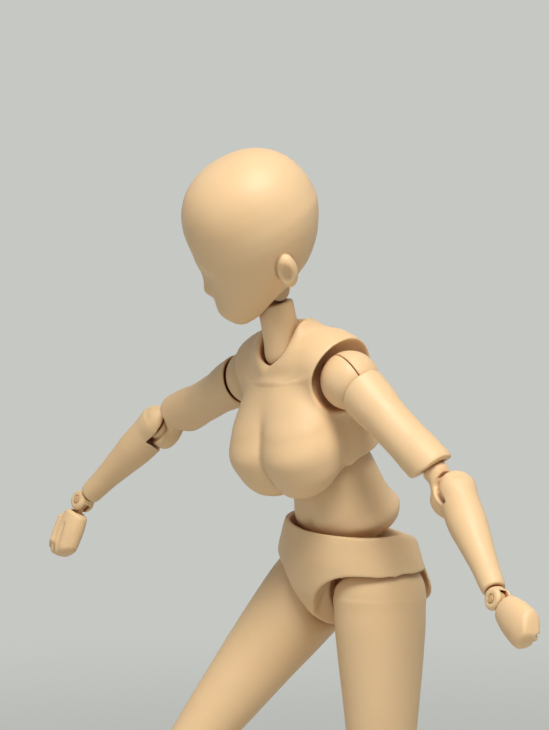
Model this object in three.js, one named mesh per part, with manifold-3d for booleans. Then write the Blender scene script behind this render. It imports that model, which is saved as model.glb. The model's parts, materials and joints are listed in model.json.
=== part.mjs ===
// Articulated pose figure: a plain 1/12 scale body with ball, peg and hinge joints.
// Millimetres. The figure faces -Y, its left side is +X and up is +Z. It stands on both
// soles at z = 0, in the pose of the photograph, with its box centred on x = y = 0.

import * as THREE from 'three';
import { mergeVertices } from 'three/addons/utils/BufferGeometryUtils.js';
import Module from 'manifold-3d';

const wasm = await Module();
wasm.setup();

// Facets around each kind of surface
const bodySides = 18;
const limbSides = 12;
const jointSides = 10;
const boreSides = 8;

// Clearances
const gap = 0.3;
const pegGap = 0.15;
const seamGap = 0.2;

// Torso sizes
const hipHalfSpacing = 6.0;
const torsoBallRadius = 2.0;
const torsoStemRadius = 0.9;
const waistBallHeight = 5.5;
const waistBallSetback = 1.0;
const waistStemLength = 5.0;
const abdomenLength = 6.5;
const chestStemLength = 4.0;
const hipBlockHalfWidth = 2.0;
const pelvisRimHeight = 8.3;
const pelvisRimSlope = 0.12;
const pelvisBackSlope = 0.5;
const pelvisHalfWidth = 11.6;

// Chest sizes
const shoulderHeight = 7.0;
const collarbonePivotOffset = 3.4;
const collarboneLength = 6.0;
const collarboneSetback = 1.0;
const collarboneBarrelRadius = 2.0;
const collarboneBarrelHeight = 3.6;
const breastRadius = 5.1;
const breastSpacing = 3.2;
const breastForward = 6.1;
const breastHeight = 0.2;
const neckBallHeight = 11.0;
const neckBallSetback = -1.6;

// Neck and head sizes
const neckForward = 0.6;
const neckBackward = 0.75;
const neckRadius = 2.4;
const neckLength = 8.0;
const neckTabRadius = 1.5;
const neckTabThickness = 1.4;
const headAxleRadius = 0.5;
const headPegRadius = 0.9;
const headPegLength = 3.6;
const headTurnHeight = 2.0;
const headSetback = 2.1;
const headDrop = 1.5;
const headCrownHeight = 16.9;
const headHalfWidth = 8.0;

// Arm sizes
const shoulderBallRadius = 3.6;
const shoulderPegRadius = 0.9;
const armPegRadius = 1.0;
const armPegLength = 7.2;
const sleeveStart = 2.2;
const shoulderPinRadius = 0.8;
const shoulderPinLength = 4.8;
const upperArmLength = 20.3;
const upperArmEndGap = 4.6;
const elbowLobeRadius = 2.6;
const elbowCollarRadius = 1.5;
const elbowLobeThickness = 2.1;
const elbowBossRadius = 1.9;
const elbowBossThickness = 0.85;
const elbowEarRadius = 2.3;
const elbowEarThickness = 1.8;
const elbowPinRadius = 0.6;
const forearmLength = 16.5;
const forearmEndGap = 1.5;
const wristPegRadius = 0.7;
const wristPegLength = 4.4;
const wristDiscRadius = 1.3;
const wristEarThickness = 0.6;
const wristTongueThickness = 0.7;
const wristPinRadius = 0.5;
const handPegRadius = 0.6;
const handPegLength = 4.2;
const handLength = 8.2;

// Leg sizes
const hipBallRadius = 3.0;
const hipPegRadius = 1.1;
const hipPinRadius = 0.8;
const hipPinLength = 4.0;
const thighPegLength = 8.0;
const thighTopRadius = 5.7;
const thighInnerCut = 3.6;
const thighLength = 30.2;
const kneeSpacing = 5.0;
const kneeLobeRadius = 2.0;
const kneeLobeThickness = 3.2;
const kneeEarRadius = 2.3;
const kneePinRadius = 0.6;
const kneePinLength = 5.0;
const shinLength = 28.3;
const ankleBallRadius = 1.7;
const ankleStemRadius = 0.8;
const ankleStemLength = 3.0;
const ankleDiscRadius = 1.4;
const ankleDiscThickness = 1.5;
const anklePinRadius = 0.55;
const anklePinLength = 3.8;
const anklePivotHeight = 4.2;
const heelReach = 5.6;
const toeReach = 14.6;

// The photographed pose, in degrees about each joint's own axis
const pose = {
  pelvisPitch: 8,
  pelvisRoll: 4,
  waistRoll: -5,
  abdomenBend: 17,
  chestBend: -4.5,
  chestTwist: 6,
  neckBend: -9,
  headNod: 17.5,
  headTurn: -38,
  left: {
    collarbone: -14,
    armSwing: 7,
    armSpread: -50,
    armTurn: 0,
    elbowTurn: 18,
    elbowBend: -22.5,
    wristTurn: -71.5,
    wristBend: 19.5,
    handTurn: 90,
    hipSwing: -9,
    hipSpread: -6,
    thighTurn: -15,
  },
  right: {
    collarbone: 14,
    armSwing: 13.5,
    armSpread: 72,
    armTurn: 0,
    elbowTurn: 22.5,
    elbowBend: -23.5,
    wristTurn: 15.5,
    wristBend: -29,
    handTurn: 90,
    hipSwing: -43.5,
    hipSpread: 12,
    thighTurn: 0,
  },
};
const rightKneeBend = 30;

// Plastic colours, as the photograph shows them
const shellColor = 0xe9c596;
const jointColor = 0xdcb788;

const huge = 80;
const radians = THREE.MathUtils.degToRad;

// Turns a closed geometry into a solid that can be joined and cut
function solid(geometry) {
  const bare = geometry.index ? geometry.clone() : mergeVertices(geometry);
  bare.deleteAttribute('normal');
  bare.deleteAttribute('uv');
  const merged = mergeVertices(bare, 1e-5);
  const kept = [];
  for (let i = 0; i < merged.index.count; i += 3) {
    const corners = [0, 1, 2].map((k) => merged.index.getX(i + k));
    if (new Set(corners).size === 3) kept.push(...corners);
  }
  return new wasm.Manifold(new wasm.Mesh({
    numProp: 3,
    vertProperties: new Float32Array(merged.attributes.position.array),
    triVerts: new Uint32Array(kept),
  }));
}

function geometryOf(shape) {
  const { vertProperties, triVerts } = shape.getMesh();
  const geometry = new THREE.BufferGeometry();
  geometry.setAttribute('position', new THREE.BufferAttribute(new Float32Array(vertProperties), 3));
  geometry.setIndex(new THREE.BufferAttribute(new Uint32Array(triVerts), 1));
  return geometry;
}

// Primitive solids, each placed before it becomes a solid
function ball(radius, [x, y, z] = [0, 0, 0], around = jointSides, [sx, sy, sz] = [1, 1, 1]) {
  const geometry = new THREE.SphereGeometry(radius, around, Math.round(around / 2));
  geometry.rotateX(Math.PI / 2);
  geometry.scale(sx, sy, sz);
  geometry.translate(x, y, z);
  return solid(geometry);
}

const turnOntoAxis = {
  x: (geometry) => geometry.rotateZ(-Math.PI / 2),
  y: (geometry) => geometry,
  z: (geometry) => geometry.rotateX(Math.PI / 2),
};

// A rod along one axis, from one place on that axis to another
function rod(axis, from, to, radius, [x, y, z] = [0, 0, 0], sides = jointSides, endRadius = radius) {
  const geometry = new THREE.CylinderGeometry(endRadius, radius, Math.abs(to - from), sides);
  turnOntoAxis[axis](geometry);
  const middle = (from + to) / 2;
  geometry.translate(
    x + (axis === 'x' ? middle : 0),
    y + (axis === 'y' ? middle : 0),
    z + (axis === 'z' ? middle : 0),
  );
  return solid(geometry);
}

// The hole that a peg or pin of a radius turns in
function bore(axis, from, to, pegRadius, place) {
  return rod(axis, from, to, pegRadius + pegGap, place, boreSides);
}

function box([x0, x1], [y0, y1], [z0, z1]) {
  const geometry = new THREE.BoxGeometry(x1 - x0, y1 - y0, z1 - z0);
  geometry.translate((x0 + x1) / 2, (y0 + y1) / 2, (z0 + z1) / 2);
  return solid(geometry);
}

// Everything beyond a plane through a point, on the side its normal points to
function beyond([x, y, z], normal) {
  const geometry = new THREE.BoxGeometry(huge, huge, huge);
  geometry.translate(0, 0, huge / 2);
  const turn = new THREE.Quaternion().setFromUnitVectors(
    new THREE.Vector3(0, 0, 1),
    new THREE.Vector3(...normal).normalize(),
  );
  geometry.applyQuaternion(turn);
  geometry.translate(x, y, z);
  return solid(geometry);
}

function catmullRom(before, a, b, after, t) {
  return 0.5 * (2 * a + (b - before) * t
    + (2 * before - 5 * a + 4 * b - after) * t * t
    + (3 * a - before - 3 * b + after) * t * t * t);
}

function smoothRow(rows, position) {
  const i = Math.min(Math.floor(position), rows.length - 2);
  const t = position - i;
  const pick = (k) => rows[Math.max(0, Math.min(rows.length - 1, k))];
  return rows[i].map((_, c) => catmullRom(pick(i - 1)[c], pick(i)[c], pick(i + 1)[c], pick(i + 2)[c], t));
}

// A smooth stack of oval sections. Each section is
// [height, half width, depth in front, depth behind, middle x, middle y, roundness],
// where roundness is 2 for an oval and more for a squarer one.
function loft(sections, around = limbSides, steps = 1) {
  const rows = sections.map(([z, a, front, back, x = 0, y = 0, n = 2]) => [z, a, front, back, x, y, n]);
  const positions = [];
  const rings = (rows.length - 1) * steps + 1;
  for (let r = 0; r < rings; r += 1) {
    const [z, a, front, back, x, y, n] = smoothRow(rows, r / steps);
    for (let k = 0; k < around; k += 1) {
      const angle = (2 * Math.PI * k) / around;
      const c = Math.cos(angle);
      const s = Math.sin(angle);
      const depth = s < 0 ? front : back;
      positions.push(
        x + a * Math.sign(c) * Math.abs(c) ** (2 / n),
        y + depth * Math.sign(s) * Math.abs(s) ** (2 / n),
        z,
      );
    }
  }
  const first = rows[0];
  const last = rows[rows.length - 1];
  positions.push(first[4], first[5], first[0], last[4], last[5], last[0]);
  const upward = last[0] > first[0];
  const triangles = [];
  const face = (i, j, k) => triangles.push(...(upward ? [i, j, k] : [i, k, j]));
  for (let k = 0; k < around; k += 1) {
    const next = (k + 1) % around;
    for (let r = 0; r < rings - 1; r += 1) {
      const low = r * around;
      const high = low + around;
      face(low + k, low + next, high + next);
      face(low + k, high + next, high + k);
    }
    face(rings * around, next, k);
    const top = (rings - 1) * around;
    face(rings * around + 1, top + k, top + next);
  }
  const geometry = new THREE.BufferGeometry();
  geometry.setAttribute('position', new THREE.BufferAttribute(new Float32Array(positions), 3));
  geometry.setIndex(triangles);
  return geometry;
}

const loftSolid = (sections, around, steps) => solid(loft(sections, around, steps));

function join(...shapes) {
  return shapes.reduce((sum, shape) => sum.add(shape));
}

function cut(shape, ...tools) {
  return tools.reduce((rest, tool) => rest.subtract(tool), shape);
}

// The same piece for the other side of the figure
function mirrored(geometry) {
  const copy = geometry.clone().scale(-1, 1, 1);
  const index = copy.index.array;
  for (let i = 0; i < index.length; i += 3) {
    const swap = index[i];
    index[i] = index[i + 1];
    index[i + 1] = swap;
  }
  return copy;
}

// Pelvis: the block inside that holds the hip pegs and the waist ball, and the shell over it
const blockTop = waistBallHeight + 0.9;
const blockTopRadius = 2.7;
const socketRadius = torsoBallRadius + pegGap;

function hipBlock() {
  const body = loftSolid([
    [-2.6, 1.2, 1.8, 1.8, 0, 0.3, 3],
    [-1.6, hipBlockHalfWidth, 2.6, 2.6, 0, 0.3, 3],
    [1.6, hipBlockHalfWidth, 2.6, 2.8, 0, 0.5, 3],
    [3.4, 2.6, 2.9, 2.9, 0, waistBallSetback, 2.4],
    [blockTop, blockTopRadius, blockTopRadius, blockTopRadius, 0, waistBallSetback, 2],
  ], jointSides);
  return cut(
    body,
    ball(socketRadius, [0, waistBallSetback, waistBallHeight]),
    bore('x', 0.35, huge / 4, hipPegRadius),
    bore('x', -huge / 4, -0.35, hipPegRadius),
  );
}

// Where the abdomen turns above the pelvis, in the pelvis frame
const abdomenPivotHeight = waistBallHeight + waistStemLength;
const blockSweepRadius = Math.hypot(blockTopRadius, abdomenPivotHeight - blockTop);
const abdomenHalfWidth = 8.1;
const abdomenFront = 6.0;
const abdomenBack = 5.5;
const abdomenFootDepth = 2.9;

// The inner side of each thigh's top slants away from the crotch
const innerCutNormal = [-0.87, 0, 0.5];
const innerCutPlace = (spare) => [-thighInnerCut - spare, 0, -2.5];

// The space that the top of a thigh sweeps through as it swings
const legRoomTurns = [[-62, 9], [-40, 9], [-20, 9], [0, 9], [16, 9], [16, 30], [-48, 1], [-15, 1]];
const legRoomLength = 12;
const legGap = 0.65;

function thighRoom(side, swing, spread) {
  const geometry = new THREE.CylinderGeometry(
    thighTopRadius + legGap,
    thighTopRadius + legGap - 0.5,
    legRoomLength,
    limbSides + 2,
  );
  turnOntoAxis.z(geometry);
  geometry.translate(0, 0, -legRoomLength / 2);
  const room = solid(geometry).subtract(beyond(innerCutPlace(legGap), innerCutNormal));
  const turn = new THREE.Matrix4().makeRotationX(radians(swing));
  turn.multiply(new THREE.Matrix4().makeRotationY(radians(-spread)));
  turn.setPosition(hipHalfSpacing, 0, 0);
  const placed = room.transform(turn.elements);
  return side > 0 ? placed : placed.mirror([1, 0, 0]);
}

function pelvisShell() {
  const outer = loftSolid([
    [-4.4, 0.9, 3.0, 3.4, 0, 0.6],
    [-3.6, 4.6, 5.2, 6.2, 0, 0.4],
    [-1.2, pelvisHalfWidth - 1.4, 7.0, 7.3, 0, 0.2, 2.3],
    [1.4, pelvisHalfWidth, 7.5, 7.3, 0, 0, 2.3],
    [4.6, pelvisHalfWidth - 0.7, 7.5, 7.0, 0, 0.2, 2.2],
    [7.4, pelvisHalfWidth - 1.8, 7.2, 6.5, 0, 0.4, 2.2],
    [pelvisRimHeight + 1.0, pelvisHalfWidth - 2.4, 6.9, 6.3, 0, 0.6, 2.1],
  ], bodySides + 4);
  const rimCut = join(
    beyond([0, 0, pelvisRimHeight], [0, pelvisRimSlope, 1]),
    beyond([0, 1.8, pelvisRimHeight], [0, pelvisBackSlope, 1]),
  );
  const bowl = ball(1, [0, waistBallSetback - 0.6, abdomenPivotHeight - 1.0], bodySides - 4, [
    abdomenHalfWidth + gap + 0.9,
    abdomenFront + gap + 0.4,
    abdomenFootDepth + 2.5,
  ]);
  const blockRoom = loftSolid([
    [-3.1, 1.8, 2.6, 2.6, 0, 0.3, 3],
    [-1.8, hipBlockHalfWidth + gap, 3.1, 3.1, 0, 0.3, 3],
    [1.8, hipBlockHalfWidth + gap, 3.1, 3.3, 0, 0.5, 3],
    [3.4, 3.1, 3.4, 3.4, 0, waistBallSetback, 2.4],
    [blockTop + gap, 3.6, 3.6, 3.6, 0, waistBallSetback, 2],
  ], jointSides);
  const legRoom = (side) => join(
    ball(thighTopRadius + legGap, [side * hipHalfSpacing, 0, 0], limbSides + 2),
    beyond([side * (hipHalfSpacing + 0.9), -0.65, -1.0], [side * 0.6, -0.43, -0.68])
      .subtract(beyond([side * 1.2, 0, 0], [-side, 0, 0])),
    ...legRoomTurns.map(([swing, spread]) => thighRoom(side, swing, spread)),
  );
  return cut(outer, rimCut, bowl, blockRoom, legRoom(1), legRoom(-1));
}

// A ball at each end of a short stem, as the waist and chest joints have
function doubleBall(distance) {
  return join(
    ball(torsoBallRadius),
    ball(torsoBallRadius, [0, 0, distance]),
    rod('z', 0, distance, torsoStemRadius),
  );
}

// Opening that lets a stem swing in a socket whose ball sits at a height on the axis
function stemRoom(height, direction, length, spread) {
  const narrow = torsoStemRadius + 0.4;
  const wide = narrow + length * spread;
  const [low, high] = direction > 0 ? [0, length] : [-length, 0];
  const [lowRadius, highRadius] = direction > 0 ? [narrow, wide] : [wide, narrow];
  return rod('z', height + low, height + high, lowRadius, [0, 0, 0], jointSides, highRadius);
}

function abdomen() {
  const top = abdomenLength + 3.0;
  const body = loftSolid([
    [-abdomenFootDepth, 4.6, 2.6, 3.0, 0, -0.4],
    [-2.2, abdomenHalfWidth - 1.1, abdomenFront - 1.2, abdomenBack - 0.9, 0, -0.5],
    [-0.8, abdomenHalfWidth, abdomenFront - 0.2, abdomenBack, 0, -0.6],
    [0.6, abdomenHalfWidth - 0.8, abdomenFront, abdomenBack - 0.6, 0, -0.6],
    [2.4, 6.9, 5.6, 4.7, 0, -0.5],
    [4.0, 6.2, 4.9, 4.4, 0, -0.4],
    [6.0, 5.5, 4.3, 4.2, 0, -0.2],
    [8.0, 4.8, 3.8, 3.8, 0, 0],
    [top, 3.2, 2.6, 2.6, 0, 0],
  ], bodySides);
  return cut(
    body,
    ball(socketRadius),
    stemRoom(0, -1, 4, 0.8),
    ball(blockSweepRadius + gap).intersect(beyond([0, 0, -2.0], [0, 0, -1])),
    ball(socketRadius, [0, 0, abdomenLength]),
    stemRoom(abdomenLength, 1, 4, 0.8),
  );
}

// Chest, from the twist ball upwards
const collarHeight = 14.4;
const chestRimDepth = 4.8;
const socketCentre = [collarbonePivotOffset + collarboneLength, 0, shoulderHeight + 0.2];
const shoulderRoomRadius = shoulderBallRadius + 1.1;

function chest() {
  const ribs = loftSolid([
    [-chestRimDepth, 7.2, 5.2, 5.9, 0, 0],
    [-1.5, 7.5, 5.2, 5.7, 0, 0],
    [2.0, 7.1, 5.6, 5.6, 0, 0.1, 2.2],
    [5.5, 6.9, 5.4, 5.6, 0, 0.2, 2.4],
    [8.5, 6.6, 4.8, 5.2, 0, 0.4, 2.4],
    [11.0, 5.6, 3.4, 3.8, 0, 0.6, 2.2],
  ], bodySides);
  const yokeGeometry = loft([
    [-9.7, 3.5, 4.2, 3.2, 7.5, 0.4],
    [-8.4, 4.3, 4.9, 4.4, 7.6, 0.3],
    [-4.6, 4.9, 5.0, 5.2, 7.7, 0.3],
    [4.6, 4.9, 5.0, 5.2, 7.7, 0.3],
    [8.4, 4.3, 4.9, 4.4, 7.6, 0.3],
    [9.7, 3.5, 4.2, 3.2, 7.5, 0.4],
  ], bodySides - 4);
  yokeGeometry.applyMatrix4(new THREE.Matrix4().set(0, 0, 1, 0, 0, 1, 0, 0, 1, 0, 0, 0, 0, 0, 0, 1));
  const flipped = yokeGeometry.index.array;
  for (let i = 0; i < flipped.length; i += 3) {
    [flipped[i], flipped[i + 1]] = [flipped[i + 1], flipped[i]];
  }
  const collar = loftSolid([
    [8.0, 6.0, 4.4, 5.0, 0, 0],
    [10.6, 4.8, 4.8, 5.2, 0, -0.2],
    [12.6, 4.0, 4.3, 4.8, 0, -0.5],
    [collarHeight, 3.6, 4.0, 4.4, 0, -0.6],
  ], bodySides - 4);
  const breast = (side) => {
    const x = side * breastSpacing;
    return loftSolid([
      [breastHeight - 5.8, 1.0, 1.0, 1.2, x - side * 0.6, -breastForward - 0.8],
      [breastHeight - 4.9, 3.0, 2.8, 3.2, x - side * 0.4, -breastForward - 0.6],
      [breastHeight - 2.7, 4.6, 4.4, 4.3, x - side * 0.1, -breastForward - 0.2],
      [breastHeight, breastRadius, breastRadius, 4.6, x, -breastForward],
      [breastHeight + 2.8, 4.7, 4.6, 4.0, x, -breastForward + 0.8],
      [breastHeight + 5.4, 3.7, 3.6, 3.0, x, -breastForward + 1.6],
      [breastHeight + 8.2, 2.4, 2.0, 2.0, x, -breastForward + 2.5],
    ], limbSides);
  };
  const cutRibs = ribs.subtract(beyond([0, -4, -3.6], [0, -0.35, -0.94]));
  const body = join(cutRibs, solid(yokeGeometry), collar, breast(1), breast(-1));
  const wellSide = neckRadius + gap + 0.05;
  const wellTop = collarHeight + 4;
  const wellRise = wellTop - neckBallHeight;
  const neckWell = join(
    ball(wellSide, [0, neckBallSetback, neckBallHeight], jointSides),
    loftSolid([
      [neckBallHeight - 0.2, wellSide, wellSide, wellSide, 0, neckBallSetback],
      [neckBallHeight + 0.6, wellSide, wellSide + 0.4, wellSide + 0.7, 0, neckBallSetback, 2.6],
      [
        wellTop, wellSide + 0.6, wellSide + wellRise * neckForward, wellSide + wellRise * neckBackward,
        0, neckBallSetback, 2.6,
      ],
    ], limbSides),
  );
  const collarOpening = beyond([0, -4.9, 9.9], [0, -0.6, 0.8]);
  const shoulderRoom = (side) => {
    const [x, y, z] = socketCentre;
    const pivot = [side * collarbonePivotOffset, collarboneSetback, 0];
    const low = shoulderHeight - collarboneBarrelHeight / 2 - pegGap;
    const high = shoulderHeight + collarboneBarrelHeight / 2 + pegGap;
    return join(
      ball(shoulderRoomRadius, [side * x, y, z], bodySides - 4, [1, 1.13, 0.95]),
      rod('z', low, high, collarboneBarrelRadius + pegGap, pivot, jointSides),
    );
  };
  const waistRoom = ball(1, [0, -0.4, -chestRimDepth], bodySides - 4, [6.8, 5.9, 5.4]);
  return cut(
    body,
    neckWell,
    collarOpening,
    shoulderRoom(1),
    shoulderRoom(-1),
    ball(socketRadius),
    stemRoom(0, -1, 5, 0.8),
    waistRoom,
  );
}

function collarbone() {
  const half = collarboneBarrelHeight / 2;
  return cut(
    rod('z', -half, half, collarboneBarrelRadius, [0, 0, 0], jointSides),
    bore('x', -collarboneBarrelRadius + 0.6, collarboneBarrelRadius + 1, shoulderPegRadius),
  );
}

// The shoulder and hip balls are split in two halves that turn on a pin along Y.
// One half carries the peg into the body, the other the peg into the limb.
function ballHalf(radius, facing, pegAxis, pegEnd, pegRadius, pinRadius, pinLength) {
  const half = beyond([0, facing * seamGap / 2, 0], [0, facing, 0]);
  const peg = rod(pegAxis, Math.min(0, pegEnd), Math.max(0, pegEnd), pegRadius, [0, 0, 0], boreSides);
  return cut(
    join(
      ball(radius, [0, 0, 0], limbSides).intersect(half),
      peg.intersect(half),
      peg.subtract(ball(radius + 0.25, [0, 0, 0], limbSides)),
    ),
    bore('y', -pinLength / 2 - pegGap, pinLength / 2 + pegGap, pinRadius),
  );
}

const shoulderInner = () => ballHalf(shoulderBallRadius, -1, 'x', -(collarboneLength + 1.1),
  shoulderPegRadius, shoulderPinRadius, shoulderPinLength);
const shoulderOuter = () => ballHalf(shoulderBallRadius, 1, 'z', -armPegLength,
  armPegRadius, shoulderPinRadius, shoulderPinLength);
const hipInner = () => ballHalf(hipBallRadius, -1, 'x', -(hipHalfSpacing - 0.5),
  hipPegRadius, hipPinRadius, hipPinLength);
const hipOuter = () => ballHalf(hipBallRadius, 1, 'z', -thighPegLength,
  hipPegRadius, hipPinRadius, hipPinLength);

const pin = (axis, length, radius) => rod(axis, -length / 2, length / 2, radius, [0, 0, 0], boreSides);

function upperArm() {
  const end = upperArmLength - upperArmEndGap;
  const body = loftSolid([
    [-sleeveStart, 3.15, 3.05, 3.15, 0.4],
    [-0.3 * end, 3.0, 2.95, 3.0, 0.3],
    [-0.48 * end, 2.65, 2.65, 2.7, 0.15],
    [-0.7 * end, 2.6, 2.6, 2.7, 0],
    [-0.87 * end, 2.8, 2.7, 2.8, 0],
    [-end, 2.8, 2.7, 2.75, 0],
    [-end - 0.9, 2.65, 2.55, 2.6, 0],
  ], limbSides);
  return cut(
    body,
    ball(shoulderBallRadius + 0.25, [0, 0, 0], limbSides),
    bore('z', -armPegLength - gap, 0, armPegRadius),
    bore('z', -end - 2, -end + 3.6, armPegRadius),
    rod('z', -end - 2, -end + gap, elbowCollarRadius + gap, [0, 0, 0], jointSides),
    beyond([-2.0, 0, -end + 0.8], [-0.42, -0.1, -0.9]),
  );
}

// Elbow: a lobe with a smaller boss on the inner side, and the forearm's ear on the outer side
const elbowLobeInner = -2.5;
const elbowLobeOuter = elbowLobeInner + elbowLobeThickness;
const elbowBossOuter = elbowLobeOuter + elbowBossThickness;
const elbowEarInner = elbowBossOuter + gap;
const elbowEarOuter = elbowEarInner + elbowEarThickness;
const elbowPinInner = elbowLobeInner + 0.6;
const elbowPinOuter = elbowEarOuter - 0.5;

function elbowJoint() {
  const shoulder = elbowEarRadius + gap;
  const rim = upperArmEndGap - 0.9 - gap;
  const neck = loftSolid([
    [0.2, 1.0, 1.9, 1.9, -1.4],
    [1.6, 1.05, 1.8, 1.8, -1.3],
    [shoulder + 0.1, elbowCollarRadius, 1.55, 1.55, -0.35],
    [rim, elbowCollarRadius, elbowCollarRadius, elbowCollarRadius, 0],
    [upperArmEndGap - gap, elbowCollarRadius, elbowCollarRadius, elbowCollarRadius, 0],
  ], jointSides);
  return cut(
    join(
      rod('x', elbowLobeInner, elbowLobeOuter, elbowLobeRadius, [0, 0, 0], limbSides),
      rod('x', elbowLobeOuter - 0.2, elbowBossOuter, elbowBossRadius, [0, 0, 0], jointSides),
      neck.subtract(rod('x', elbowBossOuter, huge / 4, shoulder, [0, 0, 0], jointSides)),
      rod('z', 2.8, upperArmEndGap + 3.2, armPegRadius, [0, 0, 0], boreSides),
    ),
    bore('x', elbowPinInner - 0.1, huge / 4, elbowPinRadius),
  );
}

function elbowPin() {
  return rod('x', elbowPinInner, elbowPinOuter, elbowPinRadius, [0, 0, 0], boreSides);
}

function forearm() {
  const end = forearmLength - forearmEndGap;
  const body = loftSolid([
    [0.6, 2.4, 2.1, 2.1, 0.1],
    [-1.6, 2.5, 2.3, 2.3, 0.05],
    [-0.3 * end, 2.4, 2.35, 2.3, 0],
    [-0.53 * end, 2.0, 2.0, 2.0, 0],
    [-0.77 * end, 1.6, 1.6, 1.65, 0],
    [-end + 0.6, 1.45, 1.45, 1.45, 0],
    [-end, 1.35, 1.35, 1.35, 0],
  ], limbSides);
  const earRound = elbowEarRadius + 0.25;
  const ear = rod('x', elbowEarInner, elbowEarOuter, elbowEarRadius, [0, 0, 0], limbSides)
    .intersect(ball(1, [0, 0, 0], limbSides, [elbowEarOuter + 0.15, earRound, earRound]));
  const lobeRoom = rod('x', -huge / 4, elbowEarInner, elbowLobeRadius + gap, [0, 0, 0], limbSides);
  return cut(
    join(body.subtract(lobeRoom).subtract(beyond([0, 0, 0], [0, 0, 1])), ear),
    lobeRoom,
    bore('x', elbowEarInner - 1, elbowPinOuter + 0.1, elbowPinRadius),
    bore('z', -end - 1, -end + 3.2, wristPegRadius),
  );
}

// Wrist: a two-eared clevis on a peg, a tongue between the ears, and the hand on the tongue's peg
const wristEarInner = wristTongueThickness / 2 + 0.2;
const wristEarOuter = wristEarInner + wristEarThickness;
const wristPinReach = wristEarOuter + 0.08;

function wristJoint() {
  const ears = cut(
    join(
      rod('x', -wristEarOuter, wristEarOuter, wristDiscRadius),
      rod('z', 0, forearmEndGap - 0.25, 1.1, [0, 0, 0], boreSides),
    ),
    rod('x', -wristEarInner, wristEarInner, wristDiscRadius - 0.1, [0, 0, 0], boreSides),
    box([-wristEarInner, wristEarInner], [-2, 2], [-2, 0.5]),
  );
  return cut(
    join(ears, rod('z', forearmEndGap - 0.4, wristPegLength, wristPegRadius, [0, 0, 0], boreSides)),
    bore('x', -2, 2, wristPinRadius),
  );
}

function handPeg() {
  const half = wristTongueThickness / 2;
  return cut(
    join(
      rod('x', -half, half, wristDiscRadius - 0.35, [0, 0, 0], boreSides),
      rod('z', -handPegLength, -1.9, handPegRadius, [0, 0, 0], boreSides),
      box([-half, half], [-0.6, 0.6], [-2.1, 0]),
    ),
    bore('x', -1, 1, wristPinRadius),
  );
}

function hand() {
  const body = loftSolid([
    [-1.75, 1.2, 1.0, 1.0],
    [-2.6, 2.0, 1.4, 1.4, 0.1],
    [-4.2, 2.7, 1.7, 1.7, 0.1],
    [-6.0, 2.8, 1.9, 1.8, 0],
    [-7.4, 2.4, 1.7, 1.5, 0],
    [-handLength, 1.5, 0.9, 0.8, -0.1],
  ], jointSides);
  return cut(body, bore('z', -handPegLength - gap, -1, handPegRadius));
}

function neck() {
  const tab = neckTabThickness / 2;
  const column = loftSolid([
    [-1.2, neckRadius - 0.3, neckRadius - 0.3, neckRadius - 0.3],
    [0, neckRadius, neckRadius, neckRadius],
    [2.6, neckRadius - 0.1, neckRadius - 0.1, neckRadius - 0.1],
    [neckLength - neckTabRadius - 0.2, neckRadius - 0.2, neckRadius - 0.2, neckRadius - 0.2],
  ], jointSides);
  return cut(
    join(
      ball(neckRadius),
      column,
      rod('x', -tab, tab, neckTabRadius, [0, 0, neckLength]),
      box([-tab, tab], [-1.3, 1.3], [neckLength - neckTabRadius - 0.6, neckLength]),
    ),
    bore('x', -2, 2, headAxleRadius, [0, 0, neckLength]),
  );
}

// A clevis on the neck's tab, with an axle across it and a peg up into the head
function headJoint() {
  const inner = neckTabThickness / 2 + 0.2;
  const outer = inner + 0.7;
  return join(
    cut(
      join(
        rod('x', -outer, outer, neckTabRadius),
        rod('z', 0.6, headTurnHeight + 0.4, neckRadius - 0.2),
      ),
      rod('x', -inner, inner, neckTabRadius + 0.25),
      box([-inner, inner], [-2, 2], [-2, 0]),
    ),
    rod('x', -inner - 0.1, inner + 0.1, headAxleRadius, [0, 0, 0], boreSides),
    rod('z', headTurnHeight, headTurnHeight + headPegLength, headPegRadius, [0, 0, 0], boreSides),
  );
}

function head() {
  const w = headHalfWidth;
  const skull = loftSolid([
    [-2.9, 1.3, 0.9, 1.2, 0, -6.6],
    [-2.0, 2.8, 2.3, 4.4, 0, -6.0],
    [-0.4, 4.2, 4.4, 5.4, 0, -4.8],
    [1.8, 5.6, 6.9, 6.8, 0, -2.8],
    [4.6, w - 1.2, 8.6, 7.2, 0, -1.0],
    [7.8, w - 0.2, 8.8, 8.0, 0, -0.4],
    [11.0, w, 8.7, 8.2, 0, -0.4],
    [13.8, w - 1.3, 7.2, 7.2, 0, -0.4],
    [15.8, w - 3.7, 4.7, 4.9, 0, -0.3],
    [headCrownHeight, 1.0, 1.1, 1.1, 0, -0.2],
  ], bodySides);
  const nose = ball(1.1, [0, -9.2, 2.6], jointSides, [0.7, 1.1, 0.9]);
  const ear = (side) => cut(
    ball(1.7, [side * (w - 0.8), 1.0, 4.4], limbSides, [0.5, 0.75, 1]),
    ball(0.9, [side * (w + 0.2), 0.8, 4.6], jointSides, [0.5, 0.7, 1]),
  );
  const jointRoom = join(
    loftSolid([
      [-6, neckRadius + 0.9, neckRadius + 1.6, neckRadius + 1.2],
      [-1, neckRadius + 0.7, neckRadius + 1.1, neckRadius + 0.7],
      [headPegLength - 1.4, neckRadius + 0.4, neckRadius + 0.4, neckRadius + 0.4],
    ], limbSides),
    bore('z', 0, headPegLength + gap, headPegRadius),
  );
  const shell = join(skull, nose, ear(1), ear(-1)).translate([0, headSetback, -headDrop]);
  return cut(shell, jointRoom);
}

// Thigh: a ball-shaped top cut away on the inside, where the hip ball sits
const thighSections = [
  [0, thighTopRadius, 0],
  [-0.08, thighTopRadius, 0.1],
  [-0.23, 5.4, 0.2],
  [-0.43, 4.8, 0.3],
  [-0.66, 4.1, 0.2],
  [-0.84, 3.5, 0.1],
  [-0.94, 3.1, 0],
];

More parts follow.
